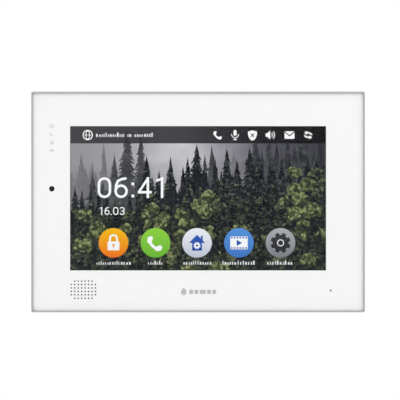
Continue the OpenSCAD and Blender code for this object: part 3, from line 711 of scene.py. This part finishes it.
def writing(signs, z, h, pen):
    """Figures at given places: (sign, left side, width)."""
    shapes = []
    for sign, x, w in signs:
        strokes, holes = figure(sign, x, z, w, h, pen)
        shapes += painted(strokes[:1], 0) + cut(holes) + painted(strokes[1:], 0)
    return shapes


def dashes(start, end, z, h, look, draw):
    """Row of upright dashes that stands for a word and can't be read."""
    shapes = []
    x = start
    while x < end - 0.5:
        w = draw.choice((0.8, 1.1, 1.5))
        tall = h * draw.choice((0.58, 0.64, 0.7, 1.0))
        shapes.append((rounded(x + w / 2, z + tall / 2, w, tall, 0.3), look, 0.5))
        x += w + draw.choice((0.8, 1.0, 1.3))
    return shapes


# Places on the picture, in millimetres from its middle.
BAR_H, BAR_Z = 14.75, 55.2
BUTTON_R, BUTTON_Z = 12.9, -38.9
BUTTONS_X = (-73.8, -37.2, -0.9, 35.7, 72.0)
CAPTION_WIDTHS, CAPTION_Z = (29.6, 12.9, 23.8, 28.7, 23.0), -58.0
CLOCK = [("0", -87.6, 11.8), ("6", -73.0, 11.7), (":", -58.4, 3.0), ("4", -52.6, 12.2),
         ("1", -37.0, 6.7)]
DATE = [("1", -86.0, 2.4), ("6", -81.6, 4.4), (".", -76.4, 1.2), ("0", -74.1, 4.6),
        ("3", -68.2, 4.6)]


def interface(depth):
    """Status bar, clock, date and five round buttons, in front of the wallpaper."""
    draw = random.Random(5)
    middle = screen_middle()
    frame_edge = block(0, 0, SCREEN_W, SCREEN_H)
    bar = block(0, SCREEN_H / 2 - BAR_H / 2, SCREEN_W, BAR_H)
    bar_look = veil_look("bar_tint", rgb(54, 54, 57), rgb(12, 12, 14), 0.72, 0.82)
    sheet("picture_bar", [(bar, 0, 0.0)], [bar_look], depth, middle, frame_edge)
    depth -= LAYER_STEP * MM

    white = gradient_look("sign_white", (246, 247, 248), (255, 255, 255), -10, 60)
    pale = gradient_look("sign_pale", (222, 222, 224), (232, 232, 234), -60, 60)
    shapes = at(-96.3, BAR_Z, 4.45, globe(0))
    for start, end in ((-89, -64), (-61.5, -58.5), (-55.5, -38.5)):
        shapes += dashes(start, end, BAR_Z - 1.7, 3.9, 1, draw)
    for sign, x, drop, s in ((handset, 16.3, 1.0, 3.6), (microphone, 32.3, 0, 3.2),
                             (shield, 47.5, 0.2, 4.0), (loudspeaker, 63.0, 0, 4.1),
                             (envelope, 79.8, 0, 4.35), (swap_arrows, 96.1, 0, 3.6)):
        shapes += at(x, BAR_Z - drop, s, sign(0))
    sheet("picture_status", shapes, [white, pale], depth, middle)

    shapes = writing(CLOCK, 0.2, 18.2, 2.2) + writing(DATE, -14.5, 6.9, 0.88)
    sheet("picture_clock", shapes, [white], depth, middle)

    z = BUTTON_Z
    low, high = z - BUTTON_R, z + BUTTON_R
    looks = [
        gradient_look("button_orange", (236, 112, 30), (246, 188, 22), low, high),
        gradient_look("button_green", (104, 180, 52), (142, 208, 66), low, high),
        gradient_look("button_white", (190, 194, 210), (238, 240, 247), low, high),
        gradient_look("button_blue", (62, 116, 192), (84, 146, 218), low, high),
        gradient_look("button_grey", (120, 121, 128), (172, 173, 179), low, high),
        white,
        gradient_look("sign_blue", (28, 66, 150), (46, 92, 186), low, high),
        gradient_look("sign_dark", (34, 35, 37), (62, 63, 66), low, high),
        pale,
    ]
    shapes = [(circle(x, z, BUTTON_R, 72), i, 0.5) for i, x in enumerate(BUTTONS_X)]
    shapes += at(BUTTONS_X[0], z + 0.6, 5.9, padlock(5, 0))
    shapes += at(BUTTONS_X[1] - 2.0, z - 2.0, 6.4, handset(5))
    shapes += at(BUTTONS_X[2], z - 0.2, 6.3, house(6, 5))
    shapes += at(BUTTONS_X[3], z, 6.6, film(5, 6))
    shapes += gear(BUTTONS_X[4], z, 8.8, 8, 7, 0.2, 0.4)
    for r, look in ((3.1, 8), (2.2, 7)):
        shapes += painted([circle(BUTTONS_X[4], z, r)], look)
    for x, width in zip(BUTTONS_X, CAPTION_WIDTHS):
        shapes += dashes(x - width / 2, x + width / 2, CAPTION_Z, 3.5, 8, draw)
    sheet("picture_buttons", shapes, looks, depth, middle)


def picture():
    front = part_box("lcd_cell")[0].y
    depth = forest(front - 0.05 * MM)
    interface(depth)


picture()


# ---------------- print on the glass and the label


def ink_look(name, red, green, blue):
    return surface(name, rgb(red, green, blue), 0.5, grain=1600, bump=0.02)


def printed_marks():
    """Grey signs behind the glass: four indicators on the left and a plain mark below."""
    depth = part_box("glass_mask")[0].y - INK_GAP * MM
    looks = [ink_look("ink_grey", 186, 188, 191), ink_look("ink_pale", 218, 220, 222),
             ink_look("ink_middle_grey", 160, 163, 167)]
    low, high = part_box("indicator_leds")
    x = (low.x + high.x) / 2 / MM
    steps = [high.z / MM - 1 - i * (high.z - low.z - 2 * MM) / 3 / MM for i in range(4)]
    shapes = at(x, steps[0], 2.1, envelope(1)) + at(x - 0.6, steps[1] - 0.6, 1.7, handset(1))
    shapes += at(x, steps[2] + 0.2, 1.75, padlock(1, 0))
    shapes += [(rounded(x + d * 0.95, steps[3], 0.75, 2.3, 0.3), 2, 0.5) for d in (-1, 1)]
    z = -78.4
    bell = [(-15.4, z - 1.9), (-9.6, z - 1.9), (-10.4, z - 0.8), (-10.4, z + 0.6)]
    bell += arc(-12.5, z + 0.7, 2.1, 0, 180, 12) + [(-14.6, z - 0.8)]
    knob = circle(-12.5, z + 3.0, 0.55, 16)
    clapper = line(arc(-12.5, z - 2.1, 0.9, 200, 340, 6), 0.7)
    shapes += painted([bell, knob, clapper], 0)
    left = -7.6
    for width in (3.4, 3.4, 5.4, 3.4, 3.4):
        shapes.append((rounded(left + width / 2, z, width, 3.6, 0.9), 0, 0.5))
        left += width + 1.1
    sheet("glass_print", shapes, looks, depth, thickness=INK)


def label_print():
    """Rules, dashes and uneven bars on the label at the back. None of it can be read."""
    draw = random.Random(23)
    low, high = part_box("rating_label")
    middle = ((low.x + high.x) / 2, (low.z + high.z) / 2)
    w, h = (high.x - low.x) / MM, (high.z - low.z) / MM
    looks = [ink_look("ink_label", 58, 60, 63), ink_look("ink_label_grey", 132, 135, 139)]
    shapes = painted([rounded(0, 0, w - 2.4, h - 2.4, 1.2)], 1)
    shapes += cut([rounded(0, 0, w - 3.0, h - 3.0, 1.0)])
    for z, length in ((11.0, 30), (7.6, 24), (5.2, 27), (2.8, 19)):
        shapes += dashes(w / 2 - 4.5 - length, w / 2 - 4.5, z, 2.0 if z > 10 else 1.3, 0, draw)
    shapes.append((block(0, 0.4, w - 6, 0.25), 1, 0.5))
    x = w / 2 - 6
    while x > -w / 2 + 12:
        bar = draw.choice((0.3, 0.5, 0.8))
        shapes.append((block(x - bar / 2, -6.2, bar, 8.5), 0, 0.5))
        x -= bar + draw.choice((0.4, 0.6, 0.9))
    shapes += dashes(-w / 2 + 12, w / 2 - 6, -13.2, 1.3, 1, draw)
    sheet("label_print", shapes, looks, high.y + INK_GAP * MM, middle, thickness=INK,
          to_back=True)


def microphone_felt(look):
    """Dark cloth disc over the microphone's port, seen through the hole in the glass."""
    low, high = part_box("microphone")
    middle = ((low.x + high.x) / 2, (low.z + high.z) / 2)
    sheet("microphone_felt", [(circle(0, 0, 0.76), 0, 0.5)], [look], low.y - 0.35 * MM, middle,
          thickness=0.3)


# ---------------- small parts on the main board


def solids(name, boxes, looks, slot, rounding=0.06):
    """Many small blocks as one piece. A box is (x, z, width, height, rise, foot) in mm."""
    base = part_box("main_board")[1].y
    build = bmesh.new()
    for x, z, w, h, rise, foot in boxes:
        made = bmesh.ops.create_cube(build, size=1.0)["verts"]
        for vert in made:
            vert.co = ((x + vert.co.x * w) * MM, base + (foot + (vert.co.y + 0.5) * rise) * MM,
                       (z + vert.co.z * h) * MM)
    piece = built(name, build, [looks[slot]])
    bevel = piece.modifiers.new("round_edges", "BEVEL")
    bevel.width = rounding * MM
    bevel.segments = 2
    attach(piece, "monitor")


LEAD_PITCH = 0.65
LEAD_PARTS = ((0.65, 0.7, 0.16), (0.28, 0.2, 0.75))     # foot, shoulder: way out, length, rise
# Chips that the cable bay shows: (x, z, width, height, leads on a side, sides with leads).
CHIPS = [(-9, 3, 9, 9, 13, 4), (13, 11, 5, 6.2, 8, 2), (14, -9, 4, 5, 5, 2),
         (-28, -8, 6, 5, 6, 2), (34, 8, 5, 7, 9, 2)]
# Coils and crystals: (x, z, width, height, rise, foot).
COILS = [(-22, 14, 4.4, 4.4, 2.0, 0.05), (26, -6, 5.2, 5.2, 2.2, 0.05),
         (3, -16, 4.4, 4.4, 2.0, 0.05)]
CRYSTALS = [(-3, 17, 5, 3.2, 1.1, 0.05), (-20, -19, 3.4, 5.0, 1.1, 0.05)]


def gull_leads(x, z, w, h, count, sides):
    """Feet and shoulders of a chip's leads on two or four sides."""
    boxes = []
    for i in range(count):
        along = (i - (count - 1) / 2) * LEAD_PITCH
        for side in (-1, 1):
            for out, long, rise in LEAD_PARTS:
                boxes.append((x + side * (w / 2 + out), z + along, long, 0.3, rise, 0.0))
                if sides == 4:
                    boxes.append((x + along, z + side * (h / 2 + out), 0.3, long, rise, 0.0))
    return boxes


def board_is_taken(x, z):
    """True next to a chip or the reset switch, and on the memory card's way out."""
    by_chip = any(abs(x - cx) < w / 2 + 3.2 and abs(z - cz) < h / 2 + 3
                  for cx, cz, w, h, _, _ in CHIPS)
    by_switch = abs(x + 42) < 6 and abs(z + 22) < 6
    by_card = x > 33 and -21 < z < -3
    return by_chip or by_switch or by_card


def chip_parts(draw):
    """Boxes of chip resistors, chip capacitors and their metal ends."""
    resistors, ceramics, ends = [], [], []
    for i in range(46):
        x = -36 + (i * 17) % 80
        z = -25 + (i * 11) % 46
        if board_is_taken(x, z):
            continue
        upright = draw.random() < 0.5
        long, wide = (1.6, 0.85) if i % 4 else (2.1, 1.3)
        w, h = (wide, long) if upright else (long, wide)
        kind = resistors if draw.random() < 0.45 else ceramics
        rise = 0.45 if kind is resistors else 0.8
        kind.append((x, z, w * (1 if upright else 0.7), h * (0.7 if upright else 1), rise, 0.02))
        for side in (-1, 1):
            dx, dz = (0, side * long * 0.41) if upright else (side * long * 0.41, 0)
            size = (w * 1.02, long * 0.2) if upright else (long * 0.2, h * 1.02)
            ends.append((x + dx, z + dz, *size, rise + 0.03, 0.0))
    return resistors, ceramics, ends


def board_details(looks):
    """Small parts and printed outlines on the board where the cable bay shows it."""
    bodies, leads, marks = [], [], []
    for x, z, w, h, count, sides in CHIPS:
        bodies.append((x, z, w, h, 1.2, 0.12))
        leads += gull_leads(x, z, w, h, count, sides)
        edge = 2.6 if sides == 4 else 0.5
        marks.append((rounded(x, z, w + 3.2, h + edge + 0.3, 0.3), 0, 0.5))
        marks.append((rounded(x, z, w + 2.8, h + edge - 0.1, 0.2), None, 0.0))
        marks.append((circle(x - w / 2 - 2.0, z + h / 2 + 0.6, 0.35, 16), 0, 0.5))
    resistors, ceramics, ends = chip_parts(random.Random(31))
    solids("board_chips", bodies + resistors, looks, "black_plastic", 0.12)
    solids("board_ceramics", ceramics, looks, "cream_plastic")
    solids("board_chip_leads", leads + ends, looks, "tinned_steel", 0.03)
    solids("board_coils", COILS, looks, "ferrite", 0.5)
    solids("board_crystals", CRYSTALS, looks, "capacitor_can", 0.4)
    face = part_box("main_board")[1].y + INK_GAP * MM
    sheet("board_outlines", marks, [ink_look("ink_board", 226, 228, 224)], face, thickness=INK,
          to_back=True)


# ---------------- finishes of the CAD nodes


def brushed(name, color, rough, stretch, grain, wear_and_shine, tone):
    """Metal with fine lines along one direction and bright edges that stand for wear and are also a
    painted edge highlight.
    """
    # The brighter edge colour is a painted edge highlight as well as wear.
    bright = scaled(color, 1.35)
    return surface(name, color, rough, 1.0, grain, tone, 0.35, 0.00001, stretch, wear_and_shine, bright)


def glass_look(name, tint, slant_shine, rough=0.02):
    """Clear sheet: light passes straight through and the surface shines at a slant."""
    mat = blank_material(name)
    smear = noise(mat, place(mat), 26, 4)
    clear = add(mat, "BsdfTransparent", {"Color": tint})
    gloss = {"Color": (1, 1, 1, 1), "Roughness": between(mat, smear, rough, rough * 3)}
    shine = add(mat, "BsdfGlossy", gloss)
    facing = add(mat, "LayerWeight", {"Blend": 0.5}).outputs["Facing"]
    amount = between(mat, math_node(mat, "POWER", facing, 3.0), 0.003, slant_shine)
    both = add(mat, "MixShader", {0: amount, 1: clear.outputs[0], 2: shine.outputs[0]})
    return output(mat, both)


def board_look(name):
    """Green solder mask over thin copper tracks, with bare tinned spots."""
    mat = blank_material(name)
    where = place(mat)
    cells = add(mat, "TexVoronoi", {"Vector": where, "Scale": 260.0, "Randomness": 0.35},
                feature="DISTANCE_TO_EDGE")
    tracks = between(mat, cells.outputs["Distance"], 1.0, 0.0, 0.03, 0.06)
    runs = add(mat, "TexBrick", {"Vector": where, "Scale": 120.0, "Mortar Size": 0.012})
    tracks = math_node(mat, "MAXIMUM", tracks, runs.outputs["Fac"])
    tone = noise(mat, where, 90, 3)
    base = ramp(mat, tone, [(0.3, (0.008, 0.10, 0.045, 1)), (0.7, (0.012, 0.135, 0.06, 1))])
    base = mixed(mat, math_node(mat, "MULTIPLY", tracks, 0.75), base, (0.03, 0.25, 0.09, 1))
    spots = add(mat, "TexVoronoi", {"Vector": where, "Scale": 330.0, "Randomness": 1.0})
    dots = between(mat, spots.outputs["Distance"], 1.0, 0.0, 0.10, 0.13)
    base = mixed(mat, dots, base, (0.72, 0.70, 0.62, 1))
    height = add(mat, "Bump", {"Height": tracks, "Strength": 0.4, "Distance": 0.00003})
    inputs = {"Base Color": base, "Roughness": between(mat, tone, 0.22, 0.4), "Metallic": dots,
              "Normal": height.outputs["Normal"], "Coat Weight": 0.3}
    return output(mat, add(mat, "BsdfPrincipled", inputs))


def woven(name, color):
    """Fine cloth of crossing threads."""
    mat = blank_material(name)
    where = place(mat)
    wave = {"Vector": where, "Scale": 900.0}
    threads = [add(mat, "TexWave", wave, bands_direction=way).outputs["Fac"] for way in ("X", "Z")]
    cloth = math_node(mat, "MULTIPLY", *threads)
    base = mixed(mat, cloth, scaled(color, 0.4), scaled(color, 2.2))
    height = add(mat, "Bump", {"Height": cloth, "Strength": 0.6, "Distance": 0.00004})
    inputs = {"Base Color": base, "Roughness": 0.85, "Normal": height.outputs["Normal"],
              "Sheen Weight": 0.3}
    return output(mat, add(mat, "BsdfPrincipled", inputs))


# Colour, roughness, stretch of the lines, grain, edge wear with painted edge highlight, and
# unevenness of each metal.
METALS = {
    "frame_metal": (rgb(192, 193, 195), 0.4, (1, 1, 1), 1400, 0.5, 0.03),
    "zinc_steel": ((0.56, 0.57, 0.59), 0.38, (1, 1, 9), 260, 0.5, 0.12),
    "tinned_steel": ((0.7, 0.7, 0.7), 0.28, (5, 1, 1), 500, 0.4, 0.06),
    "dark_steel": ((0.2, 0.2, 0.21), 0.35, (1, 1, 1), 1500, 0.6, 0.1),
    "gold_contact": ((0.8, 0.55, 0.16), 0.25, (1, 1, 6), 900, 0.3, 0.05),
    "heat_sink_metal": ((0.03, 0.03, 0.032), 0.45, (1, 1, 10), 500, 0.6, 0.1),
    "capacitor_can": ((0.66, 0.67, 0.69), 0.22, (1, 12, 1), 500, 0.3, 0.04),
}
# Colour, roughness and details of everything else that isn't clear, woven or a board.
PLAIN = {
    "white_ink": (rgb(250, 250, 250), 0.55, dict(grain=1800, tone=0.008, bump=0.03)),
    # The white plastic's whiter sharp edges are wear and also a painted edge highlight.
    "white_plastic": (rgb(218, 219, 220), 0.46, dict(
        grain=1500, tone=0.035, bump=0.8, depth=0.00006, wear_and_shine=0.25, wear_and_shine_color=rgb(244, 244, 244))),
    "black_plastic": ((0.018, 0.018, 0.02), 0.5, dict(grain=1800, tone=0.12, bump=0.4)),
    "cream_plastic": ((0.68, 0.62, 0.47), 0.42, dict(grain=1500, tone=0.04)),
    "display_glass": ((0.012, 0.014, 0.017), 0.15, dict(grain=700, bump=0.02, coat=0.5)),
    "display_film": ((0.82, 0.84, 0.86), 0.35, dict(grain=1200, tone=0.02)),
    "led_phosphor": ((0.82, 0.66, 0.18), 0.4, dict(grain=2600, tone=0.1)),
    "flat_cable": ((0.45, 0.2, 0.05), 0.3, dict(
        grain=700, tone=0.08, stretch=(14, 1, 1), coat=0.5)),
    "pale_cable": ((0.75, 0.7, 0.6), 0.4, dict(grain=700, tone=0.06, stretch=(14, 1, 1))),
    "wire_sleeve": ((0.45, 0.03, 0.02), 0.45, dict(grain=1500, coat=0.2)),
    "tape": ((0.03, 0.03, 0.032), 0.9, dict(grain=1500, tone=0.2, bump=0.8)),
    "rubber": ((0.026, 0.026, 0.028), 0.7, dict(
        grain=1300, tone=0.2, bump=0.7, depth=0.00005, specular=0.35)),
    "camera_rubber": ((0.008, 0.008, 0.009), 0.9, dict(grain=2200, tone=0.15, specular=0.06)),
    "silicone_pad": ((0.18, 0.32, 0.46), 0.7, dict(grain=1600, tone=0.1, bump=0.6)),
    "ferrite": ((0.035, 0.035, 0.04), 0.7, dict(grain=1300, tone=0.25, bump=0.7)),
    "speaker_paper": ((0.03, 0.03, 0.034), 0.85, dict(grain=1500, tone=0.3, bump=0.9)),
    "lens_glass": ((0.002, 0.002, 0.006), 0.12, dict(
        grain=900, bump=0.01, coat=0.06, specular=0.2)),
    "button_red": ((0.5, 0.03, 0.02), 0.35, dict(grain=1700, coat=0.3)),
    "label_paper": (rgb(206, 208, 209), 0.55, dict(grain=1700, tone=0.03, bump=0.15)),
}


def finishes():
    """One look for each material slot of the record, and one for the camera's rubber."""
    looks = {name: brushed(name, *values) for name, values in METALS.items()}
    for name, (color, rough, details) in PLAIN.items():
        looks[name] = surface(name, color, rough, **details)
    looks["cover_glass"] = glass_look("cover_glass", (0.995, 0.998, 0.997, 1), 0.7)
    looks["clear_plastic"] = glass_look("clear_plastic", (0.985, 0.99, 0.992, 1), 0.4, 0.06)
    looks["circuit_board"] = board_look("circuit_board")
    looks["speaker_fabric"] = woven("speaker_fabric", (0.012, 0.012, 0.013, 1))
    return looks


# Width of the rounding of edges, in millimetres, and the angle from which an edge is rounded.
ROUNDING = {"coin_cell": 0.3, "filter_capacitors": 0.2, "power_magnetics": 0.2,
            "wall_bumpers": 0.6, "cover_screws": 0.12, "board_screws": 0.12, "reset_button": 0.15}
SMALL_ROUNDING = 0.08
RIM_ROUNDING = {"bezel_frame": 0.22, "front_glass": 0.25, "rear_cover": 0.4, "wall_bracket": 0.2,
                "main_board": 0.1}
EDGE_ANGLE = math.radians(38)
# Thin and bent nodes keep their edges, split where two faces meet at more than this.
CRISP_NODES = ("glass_mask", "glass_tape", "touch_flex", "lcd_ribbon", "side_flex", "speaker_mesh",
               "lcd_films", "inner_leads", "rating_label", "camera_lens", "rj45_contacts")
CRISP_ANGLE = math.radians(34)
FLAT_ANGLE = math.radians(1)
# Clear nodes shrink by this much, because faces that coincide with the print would flicker.
CLEAR_NODES = ("front_glass", "touch_sensor")
CLEARANCE = 0.01 * MM
SAME_POINT = 0.002 * MM
SAME_SIDE = 0.01 * MM
OWN_LOOKS = {"camera_gasket": "camera_rubber"}


def rim(piece):
    """Group of the points on the outline of a flat piece, seen from the front and the back."""
    points = piece.data.vertices
    back = max(point.co.y for point in points)
    picked = set()
    for level in (points, [point for point in points if back - point.co.y < SAME_SIDE]):
        flat = [Vector((point.co.x, point.co.z)) for point in level]
        hull = [flat[i] for i in convex_hull_2d(flat)]
        corners = set((round(p.x / MM, 2), round(p.y / MM, 2)) for p in hull)
        low_x, high_x = min(p.x for p in hull), max(p.x for p in hull)
        low_z, high_z = min(p.y for p in hull), max(p.y for p in hull)
        for point, spot in zip(level, flat):
            side = min(spot.x - low_x, high_x - spot.x, spot.y - low_z, high_z - spot.y)
            if side < SAME_SIDE or (round(spot.x / MM, 2), round(spot.y / MM, 2)) in corners:
                picked.add(point.index)
    group = piece.vertex_groups.new(name="rim")
    group.add(sorted(picked), 1.0, "REPLACE")
    return group.name


def round_off(piece, name, width, clamp, group=""):
    bevel = piece.modifiers.new(name, "BEVEL")
    bevel.width = width * MM
    bevel.segments = 2
    bevel.limit_method = "VGROUP" if group else "ANGLE"
    bevel.vertex_group = group
    bevel.angle_limit = EDGE_ANGLE
    bevel.use_clamp_overlap = clamp


def soften(node):
    """Rounds a CAD node's hard edges a little and keeps its flat faces flat."""
    piece = frame["nodes"][node]
    mesh = piece.data
    if mesh.has_custom_normals:
        mesh.attributes.remove(mesh.attributes["custom_normal"])
    mesh.polygons.foreach_set("use_smooth", [True] * len(mesh.polygons))
    weld = piece.modifiers.new("joined", "WELD")
    weld.merge_threshold = SAME_POINT
    if node in CLEAR_NODES:
        shrink = piece.modifiers.new("clearance", "DISPLACE")
        shrink.mid_level = 0
        shrink.strength = -CLEARANCE
    if node in CRISP_NODES:
        split = piece.modifiers.new("crisp", "EDGE_SPLIT")
        split.split_angle = CRISP_ANGLE
        return
    whole = piece.modifiers.new("whole_faces", "DECIMATE")
    whole.decimate_type = "DISSOLVE"
    whole.angle_limit = FLAT_ANGLE
    if node in RIM_ROUNDING:
        round_off(piece, "round_rim", RIM_ROUNDING[node], False, rim(piece))
    round_off(piece, "round_edges", ROUNDING.get(node, SMALL_ROUNDING), True)
    shading = piece.modifiers.new("flat_shading", "WEIGHTED_NORMAL")
    shading.weight = 100


def dress():
    looks = finishes()
    for part in frame["record"]["subparts"]:
        node = part["node"]
        soften(node)
        mesh = frame["nodes"][node].data
        mesh.materials.clear()
        mesh.materials.append(looks[OWN_LOOKS.get(node, part["material_slot"])])
    return looks


looks = dress()
printed_marks()
label_print()
microphone_felt(looks["speaker_fabric"])
board_details(looks)


# ---------------- floor, light and camera


def studio():
    """White backdrop for the camera, and an even, slightly warm glow for the object."""
    scene = bpy.context.scene
    scene.view_settings.view_transform = "Standard"
    world = bpy.data.worlds.new("studio")
    world.use_nodes = True
    world.node_tree.nodes.clear()
    scene.world = world
    seen = add(world, "Background", {"Color": (1, 1, 1, 1), "Strength": 1.0})
    glow = add(world, "Background", {"Color": (1, 0.99, 0.985, 1), "Strength": 0.85})
    by_camera = add(world, "LightPath").outputs["Is Camera Ray"]
    pick = add(world, "MixShader", {0: by_camera, 1: glow.outputs[0], 2: seen.outputs[0]})
    add(world, "OutputWorld", {"Surface": pick.outputs[0]})


LIGHT_SIZE = 0.9
# Place, in metres, and power, in watts.
LIGHTS = {"key_light": ((-0.9, -1.3, 1.1), 5.0), "fill_light": ((1.2, -1.1, 0.5), 3.2),
          "back_light": ((0.9, 1.3, 1.0), 4.6), "back_fill": ((-1.2, 1.1, 0.3), 2.6)}


def softbox(name, where, power):
    """Square light that faces the object."""
    data = bpy.data.lights.new(name, "AREA")
    data.shape = "SQUARE"
    data.size = LIGHT_SIZE
    data.energy = power
    lamp = linked(name, data)
    lamp.location = where
    lamp.rotation_euler = (-Vector(where)).to_track_quat("-Z", "Y").to_euler()


def floor(radius=2.2, below=0.36):
    """Wide pale disc well below the monitor."""
    build = bmesh.new()
    bmesh.ops.create_circle(build, cap_ends=True, radius=radius, segments=96)
    pale = surface("floor", (0.86, 0.86, 0.86, 1), 0.9, grain=40, tone=0.01, bump=0.05)
    disc = built("floor", build, [pale])
    disc.location.z = -below


def camera(distance=3.0, seen_width=0.3487, aside=0.0017):
    """Straight in front, far enough for almost no perspective.

    The photograph is seen_width wide at the glass, and its middle is a little to the right
    of the monitor's and above it.
    """
    data = bpy.data.cameras.new("camera")
    data.sensor_width = 36
    data.lens = data.sensor_width * (distance + cad_box[0].y) / seen_width
    data.clip_end = 20
    eye = linked("camera", data)
    eye.location = (aside, -distance, aside)
    eye.rotation_euler = (math.radians(90), 0, 0)
    bpy.context.scene.camera = eye


studio()
for lamp_name, (lamp_place, lamp_power) in LIGHTS.items():
    softbox(lamp_name, lamp_place, lamp_power)
floor()
camera()
